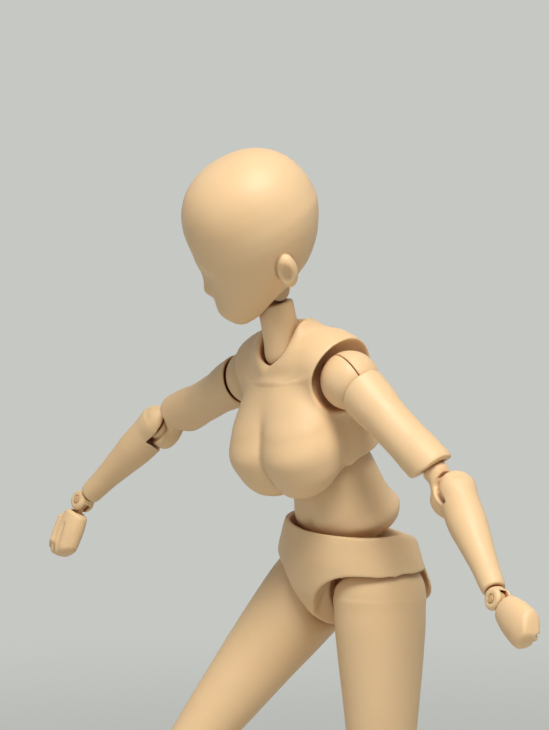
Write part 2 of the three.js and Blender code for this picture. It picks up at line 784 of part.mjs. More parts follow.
function thighBody() {
  const rows = thighSections.map(([along, r, x]) => {
    const half = Math.min(r, thighTopRadius - 0.1);
    return [along * thighLength, half, half, half - 0.1, x];
  });
  rows.push([-thighLength, 2.9, kneeEarRadius - 0.1, kneeEarRadius - 0.1, 0]);
  return loftSolid(rows, limbSides + 2);
}

function thigh() {
  const end = thighLength;
  const lobeHalf = kneeLobeThickness / 2 + 0.25;
  const kneeRoom = join(
    rod('x', -lobeHalf, lobeHalf, kneeLobeRadius + gap, [0, 0, -end]),
    box([-lobeHalf, lobeHalf], [-5, 5], [-end - 4, -end - 0.6]),
    box([-lobeHalf, lobeHalf], [0, 5], [-end - 1, -end + kneeLobeRadius]),
  );
  const topBall = ball(thighTopRadius, [0, 0, 0], limbSides + 2);
  const kneeEars = rod('x', -3.0, 3.0, kneeEarRadius, [0, 0, -end]);
  return cut(
    join(topBall, thighBody(), kneeEars),
    beyond(innerCutPlace(0), innerCutNormal),
    beyond([0, 0, 2.2], [-0.5, 0, 0.87]),
    ball(hipBallRadius + gap, [0, 0, 0]),
    rod('x', -thighTopRadius, -0.6, 4.9, [0, 0, 0], jointSides, 2.2),
    bore('z', -thighPegLength - gap, 0, hipPegRadius),
    kneeRoom,
    bore('x', -kneePinLength / 2 - 0.1, kneePinLength / 2 + 0.1, kneePinRadius, [0, 0, -end]),
  );
}

function kneeJoint() {
  const half = kneeLobeThickness / 2;
  const cap = loftSolid([
    [-kneeSpacing + 1.3, half - 0.1, 2.3, 1.6, 0, 0, 2.6],
    [-kneeSpacing / 2, half, 2.8, 1.8, 0, 0, 2.6],
    [-1.3, half - 0.1, 2.3, 1.6, 0, 0, 2.6],
  ], jointSides);
  return cut(
    join(
      rod('x', -half, half, kneeLobeRadius),
      rod('x', -half, half, kneeLobeRadius, [0, 0, -kneeSpacing]),
      cap,
    ),
    bore('x', -4, 4, kneePinRadius),
    bore('x', -4, 4, kneePinRadius, [0, 0, -kneeSpacing]),
  );
}

function shin() {
  const lobeHalf = kneeLobeThickness / 2 + 0.25;
  const end = shinLength;
  const body = loftSolid([
    [0, 2.9, kneeEarRadius - 0.1, kneeEarRadius - 0.1, 0],
    [-0.09 * end, 3.1, 2.7, 2.8, 0],
    [-0.25 * end, 3.3, 2.8, 3.8, 0],
    [-0.43 * end, 2.9, 2.6, 3.5, 0.1],
    [-0.64 * end, 2.2, 2.2, 2.5, 0.1],
    [-0.83 * end, 1.9, 2.0, 2.0, 0],
    [-0.96 * end, 2.3, 2.2, 2.3, 0],
    [-end - 0.6, 2.1, 2.0, 2.0, 0],
  ], limbSides);
  const kneeRoom = join(
    rod('x', -lobeHalf, lobeHalf, kneeLobeRadius + gap),
    box([-lobeHalf, lobeHalf], [-5, 5], [0.6, 4]),
    box([-lobeHalf, lobeHalf], [0, 5], [-kneeLobeRadius, 1]),
  );
  return cut(
    join(body, rod('x', -3.0, 3.0, kneeEarRadius)),
    kneeRoom,
    bore('x', -kneePinLength / 2 - 0.1, kneePinLength / 2 + 0.1, kneePinRadius),
    ball(ankleBallRadius + pegGap, [0, 0, -end]),
    rod('z', -end - 2, -end, 2.4, [0, 0, 0], jointSides, 1.1),
  );
}

function ankleJoint() {
  const half = ankleDiscThickness / 2;
  return cut(
    join(
      ball(ankleBallRadius),
      rod('z', -ankleStemLength, 0, ankleStemRadius, [0, 0, 0], boreSides),
      rod('x', -half, half, ankleDiscRadius, [0, 0, -ankleStemLength]),
    ),
    bore('x', -2, 2, anklePinRadius, [0, 0, -ankleStemLength]),
  );
}

// Foot: lofted from heel to toe, then cut flat at the sole
function foot() {
  const sole = -anklePivotHeight;
  const sections = [
    [-heelReach, 1.3, 1.5, 1.6],
    [-heelReach + 1.2, 2.5, 1.5, 3.6],
    [-1.4, 2.9, 1.5, 4.7],
    [1.6, 2.9, 1.5, 4.9],
    [5.0, 3.1, 1.5, 3.9],
    [9.0, 3.6, 1.5, 2.8],
    [12.4, 3.4, 1.5, 2.0],
    [toeReach - 0.6, 2.0, 1.5, 1.4],
    [toeReach, 0.9, 1.5, 0.9],
  ];
  const geometry = loft(sections, limbSides);
  geometry.rotateX(Math.PI / 2);
  geometry.translate(0, 0, sole);
  const slotHalf = ankleDiscThickness / 2 + 0.2;
  return cut(
    join(solid(geometry), rod('x', -2.4, 2.4, 1.4)),
    beyond([0, 0, sole], [0, 0, -1]),
    rod('x', -slotHalf, slotHalf, ankleDiscRadius + gap),
    box([-slotHalf, slotHalf], [-2.6, 2.6], [0, 4]),
    bore('x', -anklePinLength / 2 - 0.1, anklePinLength / 2 + 0.1, anklePinRadius),
  );
}

// The scene graph. A joint is a group that turns about one of its own axes.
function joint(name, parent, place, axis, degrees) {
  const group = new THREE.Group();
  group.name = name;
  group.position.set(...place);
  group.rotation[axis] = radians(degrees);
  group.userData.axis = axis;
  parent.add(group);
  return group;
}

function addPiece(parent, name, geometry, color, place = [0, 0, 0]) {
  const material = new THREE.MeshStandardMaterial({ color, roughness: 0.55, metalness: 0 });
  const mesh = new THREE.Mesh(geometry, material);
  mesh.name = name;
  mesh.position.set(...place);
  geometry.computeVertexNormals();
  parent.add(mesh);
}

const figure = new THREE.Group();
const pelvis = new THREE.Group();
pelvis.rotation.set(radians(pose.pelvisPitch), radians(pose.pelvisRoll), 0, 'XYZ');
figure.add(pelvis);
addPiece(pelvis, 'hip_block', geometryOf(hipBlock()), jointColor);
addPiece(pelvis, 'pelvis_shell', geometryOf(pelvisShell()), shellColor);

// Spine, neck and head
const waistPlace = [0, waistBallSetback, waistBallHeight];
const waistRoll = joint('waist_roll', pelvis, waistPlace, 'y', pose.waistRoll);
const abdomenBend = joint('abdomen_bend', waistRoll, [0, 0, waistStemLength], 'x', pose.abdomenBend);
const chestBend = joint('chest_bend', abdomenBend, [0, 0, abdomenLength], 'x', pose.chestBend);
const chestTwist = joint('chest_twist', chestBend, [0, 0, chestStemLength], 'z', pose.chestTwist);
const neckPlace = [0, neckBallSetback, neckBallHeight];
const neckBend = joint('neck_bend', chestTwist, neckPlace, 'x', pose.neckBend);
const headNod = joint('head_nod', neckBend, [0, 0, neckLength], 'x', pose.headNod);
const headTurn = joint('head_turn', headNod, [0, 0, headTurnHeight], 'z', pose.headTurn);
addPiece(waistRoll, 'waist_joint', geometryOf(doubleBall(waistStemLength)), jointColor);
addPiece(abdomenBend, 'abdomen', geometryOf(abdomen()), shellColor);
addPiece(chestBend, 'chest_joint', geometryOf(doubleBall(chestStemLength)), jointColor);
addPiece(chestTwist, 'chest', geometryOf(chest()), shellColor);
addPiece(neckBend, 'neck', geometryOf(neck()), shellColor);
addPiece(headNod, 'head_joint', geometryOf(headJoint()), jointColor);
addPiece(headTurn, 'head', geometryOf(head()), shellColor);

// Both arms, from the same left-hand pieces
const armPieces = {
  collarbone: geometryOf(collarbone()),
  shoulderInner: geometryOf(shoulderInner()),
  shoulderOuter: geometryOf(shoulderOuter()),
  shoulderPin: geometryOf(pin('y', shoulderPinLength, shoulderPinRadius)),
  upperArm: geometryOf(upperArm()),
  elbowJoint: geometryOf(elbowJoint()),
  elbowPin: geometryOf(elbowPin()),
  forearm: geometryOf(forearm()),
  wristJoint: geometryOf(wristJoint()),
  wristPin: geometryOf(pin('x', 2 * wristPinReach, wristPinRadius)),
  handPeg: geometryOf(handPeg()),
  hand: geometryOf(hand()),
};

function addArm(sideName, side) {
  const angles = pose[sideName];
  const shaped = (key) => (side > 0 ? armPieces[key].clone() : mirrored(armPieces[key]));
  const named = (label) => `${sideName}_${label}`;
  const pivot = [side * collarbonePivotOffset, collarboneSetback, shoulderHeight];
  const shrug = joint(named('collarbone_swing'), chestTwist, pivot, 'z', angles.collarbone);
  const swing = joint(named('arm_swing'), shrug, [side * collarboneLength, 0, 0], 'x', angles.armSwing);
  const spread = joint(named('arm_spread'), swing, [0, 0, 0], 'y', angles.armSpread);
  const turn = joint(named('arm_turn'), spread, [0, 0, 0], 'z', angles.armTurn);
  const elbowTurn = joint(named('elbow_turn'), turn, [0, 0, -upperArmLength], 'z', angles.elbowTurn);
  const elbowBend = joint(named('elbow_bend'), elbowTurn, [0, 0, 0], 'x', angles.elbowBend);
  const wristTurn = joint(named('wrist_turn'), elbowBend, [0, 0, -forearmLength], 'z', angles.wristTurn);
  const wristBend = joint(named('wrist_bend'), wristTurn, [0, 0, 0], 'x', angles.wristBend);
  const handTurn = joint(named('hand_turn'), wristBend, [0, 0, 0], 'z', angles.handTurn);
  addPiece(shrug, named('collarbone'), shaped('collarbone'), jointColor);
  addPiece(swing, named('shoulder_inner'), shaped('shoulderInner'), shellColor);
  addPiece(swing, named('shoulder_pin'), shaped('shoulderPin'), jointColor);
  addPiece(spread, named('shoulder_outer'), shaped('shoulderOuter'), shellColor);
  addPiece(turn, named('upper_arm'), shaped('upperArm'), shellColor);
  addPiece(elbowTurn, named('elbow_joint'), shaped('elbowJoint'), shellColor);
  addPiece(elbowTurn, named('elbow_pin'), shaped('elbowPin'), jointColor);
  addPiece(elbowBend, named('forearm'), shaped('forearm'), shellColor);
  addPiece(wristTurn, named('wrist_joint'), shaped('wristJoint'), shellColor);
  addPiece(wristTurn, named('wrist_pin'), shaped('wristPin'), jointColor);
  addPiece(wristBend, named('hand_peg'), shaped('handPeg'), jointColor);
  addPiece(handTurn, named('hand'), shaped('hand'), shellColor);
}
addArm('left', 1);
addArm('right', -1);

// Both legs, from the same left-hand pieces
const legPieces = {
  hipInner: geometryOf(hipInner()),
  hipOuter: geometryOf(hipOuter()),
  hipPin: geometryOf(pin('y', hipPinLength, hipPinRadius)),
  thigh: geometryOf(thigh()),
  kneeJoint: geometryOf(kneeJoint()),
  kneePin: geometryOf(pin('x', kneePinLength, kneePinRadius)),
  shin: geometryOf(shin()),
  ankleJoint: geometryOf(ankleJoint()),
  anklePin: geometryOf(pin('x', anklePinLength, anklePinRadius)),
  foot: geometryOf(foot()),
};

function addLeg(sideName, side) {
  const angles = pose[sideName];
  const shaped = (key) => (side > 0 ? legPieces[key].clone() : mirrored(legPieces[key]));
  const named = (label) => `${sideName}_${label}`;
  const swing = joint(named('hip_swing'), pelvis, [side * hipHalfSpacing, 0, 0], 'x', angles.hipSwing);
  const spread = joint(named('hip_spread'), swing, [0, 0, 0], 'y', angles.hipSpread);
  const turn = joint(named('thigh_turn'), spread, [0, 0, 0], 'z', angles.thighTurn);
  const kneeUpper = joint(named('knee_upper'), turn, [0, 0, -thighLength], 'x', 0);
  const kneeLower = joint(named('knee_lower'), kneeUpper, [0, 0, -kneeSpacing], 'x', 0);
  const ankleRoll = joint(named('ankle_roll'), kneeLower, [0, 0, -shinLength], 'y', 0);
  const anklePitch = joint(named('ankle_pitch'), ankleRoll, [0, 0, -ankleStemLength], 'x', 0);
  addPiece(swing, named('hip_inner'), shaped('hipInner'), jointColor);
  addPiece(swing, named('hip_pin'), shaped('hipPin'), jointColor);
  addPiece(spread, named('hip_outer'), shaped('hipOuter'), jointColor);
  addPiece(turn, named('thigh'), shaped('thigh'), shellColor);
  addPiece(kneeUpper, named('knee_joint'), shaped('kneeJoint'), shellColor);
  addPiece(kneeUpper, named('knee_upper_pin'), shaped('kneePin'), jointColor);
  addPiece(kneeUpper, named('knee_lower_pin'), shaped('kneePin'), jointColor, [0, 0, -kneeSpacing]);
  addPiece(kneeLower, named('shin'), shaped('shin'), shellColor);
  addPiece(ankleRoll, named('ankle_joint'), shaped('ankleJoint'), jointColor);
  addPiece(ankleRoll, named('ankle_pin'), shaped('anklePin'), jointColor, [0, 0, -ankleStemLength]);
  addPiece(anklePitch, named('foot'), shaped('foot'), shellColor);
  return { kneeUpper, kneeLower, ankleRoll, anklePitch };
}
const leftLeg = addLeg('left', 1);
const rightLeg = addLeg('right', -1);

// Bends a knee evenly at its two pivots, sets the foot level, and gives the sole's height
function bendKnee(leg, degrees) {
  leg.kneeUpper.rotation.x = radians(degrees / 2);
  leg.kneeLower.rotation.x = radians(degrees / 2);
  leg.ankleRoll.rotation.y = 0;
  leg.anklePitch.rotation.x = 0;
  figure.updateMatrixWorld(true);
  const shinTurn = new THREE.Matrix3().setFromMatrix4(leg.kneeLower.matrixWorld).transpose();
  const up = new THREE.Vector3(0, 0, 1).applyMatrix3(shinTurn);
  leg.ankleRoll.rotation.y = Math.atan2(up.x, up.z);
  leg.anklePitch.rotation.x = Math.asin(-up.y);
  figure.updateMatrixWorld(true);
  return new THREE.Vector3().setFromMatrixPosition(leg.anklePitch.matrixWorld).z - anklePivotHeight;
}

// The left knee bends until both soles are at one height
const soleHeight = bendKnee(rightLeg, rightKneeBend);
let [straighter, bentMore] = [0, 150];
for (let i = 0; i < 40; i += 1) {
  const middle = (straighter + bentMore) / 2;
  if (bendKnee(leftLeg, middle) < soleHeight) straighter = middle;
  else bentMore = middle;
}

const box3 = new THREE.Box3().setFromObject(figure, true);
figure.position.set(-(box3.min.x + box3.max.x) / 2, -(box3.min.y + box3.max.y) / 2, -soleHeight);
figure.updateMatrixWorld(true);

const model = new THREE.Group();
model.add(figure);
export default model;
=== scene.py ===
# Pose figure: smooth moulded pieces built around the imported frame.
# Shapes are written in millimetres, each in its own piece's frame, as the left-hand piece:
# x to the figure's left, y to its back, z up the limb. A form is a function that is
# negative inside the piece, and the surface is meshed where it is zero.
import json
import math

import bpy
import numpy as np
from mathutils import Matrix, Vector


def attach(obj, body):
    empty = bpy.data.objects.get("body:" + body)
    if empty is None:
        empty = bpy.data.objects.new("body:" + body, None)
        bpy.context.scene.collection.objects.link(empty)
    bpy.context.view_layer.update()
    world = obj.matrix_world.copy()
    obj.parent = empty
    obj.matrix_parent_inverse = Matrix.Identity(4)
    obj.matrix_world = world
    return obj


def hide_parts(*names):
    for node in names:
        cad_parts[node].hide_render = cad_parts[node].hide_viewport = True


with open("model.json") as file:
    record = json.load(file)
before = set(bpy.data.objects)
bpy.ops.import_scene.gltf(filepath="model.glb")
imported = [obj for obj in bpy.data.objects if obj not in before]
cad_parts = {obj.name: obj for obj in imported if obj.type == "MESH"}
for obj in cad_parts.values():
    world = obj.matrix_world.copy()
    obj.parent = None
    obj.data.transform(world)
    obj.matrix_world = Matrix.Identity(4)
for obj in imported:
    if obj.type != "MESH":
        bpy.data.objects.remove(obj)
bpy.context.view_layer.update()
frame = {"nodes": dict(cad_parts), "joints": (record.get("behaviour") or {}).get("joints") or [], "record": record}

MM = 0.001

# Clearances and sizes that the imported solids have
GAP, PEG_GAP, SEAM = 0.3, 0.15, 0.12
HIP_HALF_SPACING, TORSO_BALL = 6.0, 2.0
WAIST_HEIGHT, WAIST_SETBACK, WAIST_STEM = 5.5, 1.0, 5.0
ABDOMEN_LENGTH, CHEST_STEM = 6.5, 4.0
SHOULDER_HEIGHT, COLLAR_HEIGHT = 7.0, 14.4
COLLARBONE_OFFSET, COLLARBONE_LENGTH, COLLARBONE_SETBACK = 3.4, 6.0, 1.0
COLLARBONE_RADIUS, COLLARBONE_HALF_HEIGHT = 2.0, 1.8
NECK_HEIGHT, NECK_SETBACK, NECK_LENGTH, NECK_RADIUS = 11.0, -1.6, 8.0, 2.4
HEAD_TURN_HEIGHT, HEAD_SETBACK, HEAD_DROP = 2.0, 2.1, 1.5
SHOULDER_BALL, HIP_BALL = 3.6, 3.0
UPPER_ARM_LENGTH, UPPER_ARM_END, FOREARM_LENGTH, FOREARM_END = 20.3, 4.6, 16.5, 1.5
THIGH_LENGTH, THIGH_TOP, SHIN_LENGTH = 30.2, 5.7, 28.3
KNEE_SPACING, KNEE_RADIUS, KNEE_SLOT_HALF, KNEE_LOBE_HALF = 5.0, 2.3, 1.85, 1.6
ANKLE_STEM, ANKLE_HEIGHT, ANKLE_SLOT_HALF = 3.0, 4.2, 1.0

# The pins of the joints
BALL_PIN_RADIUS, SHOULDER_PIN_LENGTH, HIP_PIN_LENGTH = 0.8, 4.8, 4.0
HINGE_PIN_RADIUS, KNEE_PIN_LENGTH, HEAD_PIN_RADIUS = 0.6, 5.0, 0.5
WRIST_PIN_RADIUS, WRIST_PIN_LENGTH = 0.5, 2.46
ANKLE_PIN_RADIUS, ANKLE_PIN_LENGTH = 0.55, 3.8
HINGE_BORE = HINGE_PIN_RADIUS + PEG_GAP

# The rest pose, in degrees about each joint's own axis
POSE = {
    "pelvis": (8, 4), "waist_roll": -5, "abdomen_bend": 17, "chest_bend": -4.5, "chest_twist": 6,
    "neck_bend": -9, "head_nod": 17.5, "head_turn": -38,
    "left": {"collarbone_swing": -14, "arm_swing": 7, "arm_spread": -50, "arm_turn": 0,
             "elbow_turn": 18, "elbow_bend": -22.5, "wrist_turn": -71.5, "wrist_bend": 19.5,
             "hand_turn": 90, "hip_swing": -9, "hip_spread": -6, "thigh_turn": -15},
    "right": {"collarbone_swing": 14, "arm_swing": 13.5, "arm_spread": 72, "arm_turn": 0,
              "elbow_turn": 22.5, "elbow_bend": -23.5, "wrist_turn": 15.5, "wrist_bend": -29,
              "hand_turn": 90, "hip_swing": -43.5, "hip_spread": 12, "thigh_turn": 0},
}
JOINTS = {j["name"]: j for j in frame["joints"]}


# Frames of the pieces at rest
def joint_place(name):
    """A packed joint's place at rest, in mm."""
    return Vector(JOINTS[name]["pos_m"]) / MM


def hinge(parent, place, axis, degrees):
    """The frame of a piece that is turned at a place of its parent."""
    return parent @ Matrix.Translation(place) @ Matrix.Rotation(math.radians(degrees), 4, axis)


def hinge_to(parent, place, axis, target):
    """A hinge whose piece points its -z at a target point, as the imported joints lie."""
    x, y, z = parent.inverted() @ target - Vector(place)
    degrees = math.degrees(math.atan2(y, -z) if axis == "X" else math.atan2(-x, -z))
    return hinge(parent, place, axis, degrees)


def torso_frames():
    """Each piece of the torso, hinged on the one below it."""
    pitch, roll = (math.radians(degrees) for degrees in POSE["pelvis"])
    turn = Matrix.Rotation(pitch, 4, "X") @ Matrix.Rotation(roll, 4, "Y")
    waist_place = Vector((0, WAIST_SETBACK, WAIST_HEIGHT))
    pelvis = Matrix.Translation(joint_place("waist_roll") - turn @ waist_place) @ turn
    waist = hinge(pelvis, waist_place, "Y", POSE["waist_roll"])
    abdomen = hinge(waist, (0, 0, WAIST_STEM), "X", POSE["abdomen_bend"])
    chest_joint = hinge(abdomen, (0, 0, ABDOMEN_LENGTH), "X", POSE["chest_bend"])
    chest = hinge(chest_joint, (0, 0, CHEST_STEM), "Z", POSE["chest_twist"])
    neck = hinge(chest, (0, NECK_SETBACK, NECK_HEIGHT), "X", POSE["neck_bend"])
    head_joint = hinge(neck, (0, 0, NECK_LENGTH), "X", POSE["head_nod"])
    head = hinge(head_joint, (0, 0, HEAD_TURN_HEIGHT), "Z", POSE["head_turn"])
    return {
        "hip_block": pelvis, "pelvis_shell": pelvis, "waist_joint": waist, "abdomen": abdomen,
        "chest_joint": chest_joint, "chest": chest, "neck": neck, "head_joint": head_joint,
        "head": head,
    }


def arm_frames(side_name, side, chest):
    at = POSE[side_name]
    shoulder = (side * COLLARBONE_OFFSET, COLLARBONE_SETBACK, SHOULDER_HEIGHT)
    shrug = hinge(chest, shoulder, "Z", at["collarbone_swing"])
    swing = hinge(shrug, (side * COLLARBONE_LENGTH, 0, 0), "X", at["arm_swing"])
    spread = hinge(swing, (0, 0, 0), "Y", at["arm_spread"])
    arm = hinge(spread, (0, 0, 0), "Z", at["arm_turn"])
    elbow = hinge(arm, (0, 0, -UPPER_ARM_LENGTH), "Z", at["elbow_turn"])
    forearm = hinge(elbow, (0, 0, 0), "X", at["elbow_bend"])
    wrist = hinge(forearm, (0, 0, -FOREARM_LENGTH), "Z", at["wrist_turn"])
    hand_peg = hinge(wrist, (0, 0, 0), "X", at["wrist_bend"])
    hand = hinge(hand_peg, (0, 0, 0), "Z", at["hand_turn"])
    return {
        "collarbone": shrug, "shoulder_inner": swing, "shoulder_pin": swing,
        "shoulder_outer": spread, "upper_arm": arm, "elbow_joint": elbow, "elbow_pin": elbow,
        "forearm": forearm, "wrist_joint": wrist, "wrist_pin": wrist, "hand_peg": hand_peg,
        "hand": hand,
    }


def leg_frames(side_name, side, pelvis):
    """A leg's pieces. From the knee down each points at the next packed joint."""
    at = POSE[side_name]
    hip = hinge(pelvis, (side * HIP_HALF_SPACING, 0, 0), "X", at["hip_swing"])
    hip_outer = hinge(hip, (0, 0, 0), "Y", at["hip_spread"])
    thigh = hinge(hip_outer, (0, 0, 0), "Z", at["thigh_turn"])
    lower_knee = joint_place(f"{side_name}_knee_lower")
    ankle = joint_place(f"{side_name}_ankle_roll")
    foot_pivot = joint_place(f"{side_name}_ankle_pitch")
    knee = hinge_to(thigh, (0, 0, -THIGH_LENGTH), "X", lower_knee)
    shin = hinge_to(knee, (0, 0, -KNEE_SPACING), "X", ankle)
    ankle_joint = hinge_to(shin, (0, 0, -SHIN_LENGTH), "Y", foot_pivot)
    foot = hinge_to(ankle_joint, (0, 0, -ANKLE_STEM), "X", foot_pivot - Vector((0, 0, 1)))
    return {
        "hip_inner": hip, "hip_pin": hip, "hip_outer": hip_outer, "thigh": thigh,
        "knee_joint": knee, "knee_upper_pin": knee, "knee_lower_pin": knee, "shin": shin,
        "ankle_joint": ankle_joint, "ankle_pin": ankle_joint, "foot": foot,
    }


FRAMES = torso_frames()
for side_name, side in (("left", 1), ("right", -1)):
    limbs = arm_frames(side_name, side, FRAMES["chest"])
    limbs.update(leg_frames(side_name, side, FRAMES["pelvis_shell"]))
    FRAMES.update({f"{side_name}_{label}": place for label, place in limbs.items()})

PLACE_TOLERANCE = 0.02
CHECKED_JOINTS = {"head_turn": "head", "left_hand_turn": "left_hand",
                  "right_hand_turn": "right_hand", "left_ankle_pitch": "left_foot"}
for joint, node in CHECKED_JOINTS.items():
    off = (FRAMES[node].translation - joint_place(joint)).length
    if off > PLACE_TOLERANCE:
        raise ValueError(f"{joint} is {off:.3f} mm from the packed joint: the pose differs")


# Forms: points are three arrays x, y, z
def moved(p, centre):
    """The points as seen from a centre."""
    return [values - c for values, c in zip(p, centre)]


def smooth_min(a, b, k):
    """The lesser of two values, rounded over a width k where they are near each other."""
    share = np.clip(0.5 + 0.5 * (b - a) / k, 0, 1)
    return b + (a - b) * share - k * share * (1 - share)


def union(k, *forms):
    """Forms joined, with a fillet of width k. The same k rounds cut and common."""
    whole = forms[0]
    for form in forms[1:]:
        whole = smooth_min(whole, form, k)
    return whole


def cut(k, body, *tools):
    for tool in tools:
        body = -smooth_min(-body, tool, k)
    return body


def common(k, *forms):
    return -union(k, *(-form for form in forms))


def ellipsoid(p, centre, radii):
    x, y, z = moved(p, centre)
    a, b, c = radii
    whole = np.sqrt((x / a) ** 2 + (y / b) ** 2 + (z / c) ** 2)
    slope = np.sqrt((x / a**2) ** 2 + (y / b**2) ** 2 + (z / c**2) ** 2)
    return whole * (whole - 1) / np.maximum(slope, 1e-6)


def ball(p, radius, centre=(0, 0, 0)):
    x, y, z = moved(p, centre)
    return np.sqrt(x * x + y * y + z * z) - radius


def rounded(outward, along, edge):
    """The distance to a rounded corner between two directions, each negative inside."""
    a, b = outward + edge, along + edge
    outer = np.sqrt(np.maximum(a, 0) ** 2 + np.maximum(b, 0) ** 2)
    return outer + np.minimum(np.maximum(a, b), 0) - edge


def rod(p, axis, start, end, radius, centre=(0, 0, 0), edge=0.12):
    """A cylinder along an axis, with rounded rims."""
    x, y, z = moved(p, centre)
    along, u, v = {"x": (x, y, z), "y": (y, x, z), "z": (z, x, y)}[axis]
    middle, half = (start + end) / 2, abs(end - start) / 2
    return rounded(np.sqrt(u * u + v * v) - radius, np.abs(along - middle) - half, edge)


def block(p, low, high, edge=0.15):
    """A box between two corners, with rounded edges."""
    sides = [np.abs(a - (l + h) / 2) - (h - l) / 2 for a, l, h in zip(p, low, high)]
    return rounded(rounded(sides[0], sides[1], edge), sides[2], edge)


def beyond(p, point, normal):
    """Everything on the side of a plane that its normal points to."""
    size = math.sqrt(sum(n * n for n in normal))
    return -sum((a - c) * n / size for a, c, n in zip(p, point, normal))


def capsule(p, start, end, radius, end_radius=None):
    """A round-ended bar, or a taper where the end has a radius of its own."""
    end_radius = radius if end_radius is None else end_radius
    way = [e - s for s, e in zip(start, end)]
    size = sum(w * w for w in way)
    along = np.clip(sum((a - s) * w for a, s, w in zip(p, start, way)) / size, 0, 1)
    off = [a - s - along * w for a, s, w in zip(p, start, way)]
    return np.sqrt(sum(o * o for o in off)) - (radius + (end_radius - radius) * along)


def smooth_curve(at, knots, values):
    """A curve through the values that never overshoots them."""
    knots, values = np.array(knots, float), np.array(values, float)
    steps, rises = np.diff(knots), np.diff(values)
    slopes = rises / steps
    bends = np.zeros(len(knots))
    same = slopes[:-1] * slopes[1:] > 0
    bends[1:-1][same] = (2 * slopes[:-1] * slopes[1:] / (slopes[:-1] + slopes[1:] + 1e-12))[same]
    bends[0], bends[-1] = slopes[0], slopes[-1]
    at = np.clip(at, knots[0], knots[-1])
    i = np.clip(np.searchsorted(knots, at, side="right") - 1, 0, len(knots) - 2)
    t = (at - knots[i]) / steps[i]
    a, b = values[i], values[i + 1]
    ma, mb = bends[i] * steps[i], bends[i + 1] * steps[i]
    return a + t * (ma + t * (3 * (b - a) - 2 * ma - mb + t * (2 * (a - b) + ma + mb)))


def loft(p, sections, axis="z", edge=0.25):
    """A smooth body through oval sections, each [height, half width, depth in front, depth
    behind, middle x, middle y, roundness]. A section of no width closes its end roundly."""
    x, y, z = p
    if axis == "x":
        x, z = z, x
    rows = sorted([list(row) + [0, 0, 2][len(row) - 4:] for row in sections])
    heights = [row[0] for row in rows]
    wide, front, back = (np.sqrt(np.maximum(
        smooth_curve(z, heights, [row[c] ** 2 for row in rows]), 1e-4)) for c in (1, 2, 3))
    mid_x, mid_y, n = (smooth_curve(z, heights, [row[c] for row in rows]) for c in (4, 5, 6))
    off_x, off_y = x - mid_x, y - mid_y
    deep = np.where(off_y < 0, front, back)
    radius = ((np.abs(off_x) / wide) ** n + (np.abs(off_y) / deep) ** n) ** (1 / n)
    side = (radius - 1) * np.minimum(wide, deep)
    ends = np.maximum(heights[0] - z, z - heights[-1])
    return common(edge, side, ends)


def tilted(p, centre, axis, degrees):
    """The points as a form sees them that is turned about a centre, round x or y."""
    c, s = math.cos(math.radians(degrees)), math.sin(math.radians(degrees))
    x, y, z = moved(p, centre)
    if axis == "x":
        return x, c * y + s * z, c * z - s * y
    return c * x - s * z, y, c * z + s * x


def groove(body, sheet, radius):
    """A round groove where the body's surface meets another surface."""
    return cut(0.06, body, np.sqrt(body**2 + sheet**2) - radius)


# Meshing: one point in each cell that the surface crosses, moved onto the surface
TINY = 1e-6             # no grid value is nearer to zero
OUTSIDE = 0.01          # least value on the grid's own sides, which closes every mesh
MOVES = 3               # times that the points are moved onto the surface
LONGEST_MOVE = 0.3      # of a cell, each time
LEAST_SLOPE = 0.05      # the least squared slope that a move is divided by


def cell_points(values):
    """A number for each cell that is crossed, and its point: the mean of the crossings."""
    counts = values.shape
    cells = tuple(n - 1 for n in counts)
    total, found = np.zeros(cells + (3,), np.float32), np.zeros(cells, np.int8)
    for axis in range(3):
        others = [a for a in range(3) if a != axis]
        for i in (0, 1):
            for j in (0, 1):
                start = [slice(0, -1)] * 3
                start[others[0]] = slice(i, counts[others[0]] - 1 + i)
                start[others[1]] = slice(j, counts[others[1]] - 1 + j)
                end = list(start)
                end[axis] = slice(1, None)
                a, b = values[tuple(start)], values[tuple(end)]
                crossed = (a < 0) != (b < 0)
                total[..., axis] += np.where(crossed, a / np.where(crossed, a - b, 1), 0)
                total[..., others[0]] += np.where(crossed, i, 0)
                total[..., others[1]] += np.where(crossed, j, 0)
                found += crossed
    used = found > 0
    number = np.full(cells, -1, np.int64)
    number[used] = np.arange(used.sum())
    return number, np.argwhere(used) + total[used] / found[used][:, None]


def cell_faces(inside, number):
    """Four cells' points round each crossed line of the grid, facing out."""
    cells = number.shape
    faces = []
    for axis in range(3):
        near, far = [slice(None)] * 3, [slice(None)] * 3
        near[axis], far[axis] = slice(0, -1), slice(1, None)
        starts_in, ends_in = inside[tuple(near)], inside[tuple(far)]
        edges = np.argwhere(starts_in != ends_in)
        b, c = (axis + 1) % 3, (axis + 2) % 3
        across = edges[:, [b, c]]
        edges = edges[((across > 0) & (across < (cells[b], cells[c]))).all(1)]
        corners = []
        for db, dc in ((1, 1), (0, 1), (0, 0), (1, 0)):
            cell = edges.copy()
            cell[:, b] -= db
            cell[:, c] -= dc
            corners.append(number[tuple(cell.T)])
        quads = np.stack(corners, 1)
        outward = starts_in[tuple(edges.T)]
        quads[~outward] = quads[~outward][:, ::-1]
        faces.append(quads)
    return np.concatenate(faces)


def onto_surface(form, points, step):
    """The points moved along the form's slope, towards where it is zero."""
    reach = step / 8
    value = form(points.T)
    slope = np.stack([
        (form((points + reach * way).T) - form((points - reach * way).T)) / (2 * reach)
        for way in np.eye(3)
    ], 1)
    size = np.maximum((slope**2).sum(1), LEAST_SLOPE)
    move = -(value / size)[:, None] * slope
    length = np.sqrt((move**2).sum(1))
    return points + move * np.minimum(1, LONGEST_MOVE * step / np.maximum(length, 1e-9))[:, None]


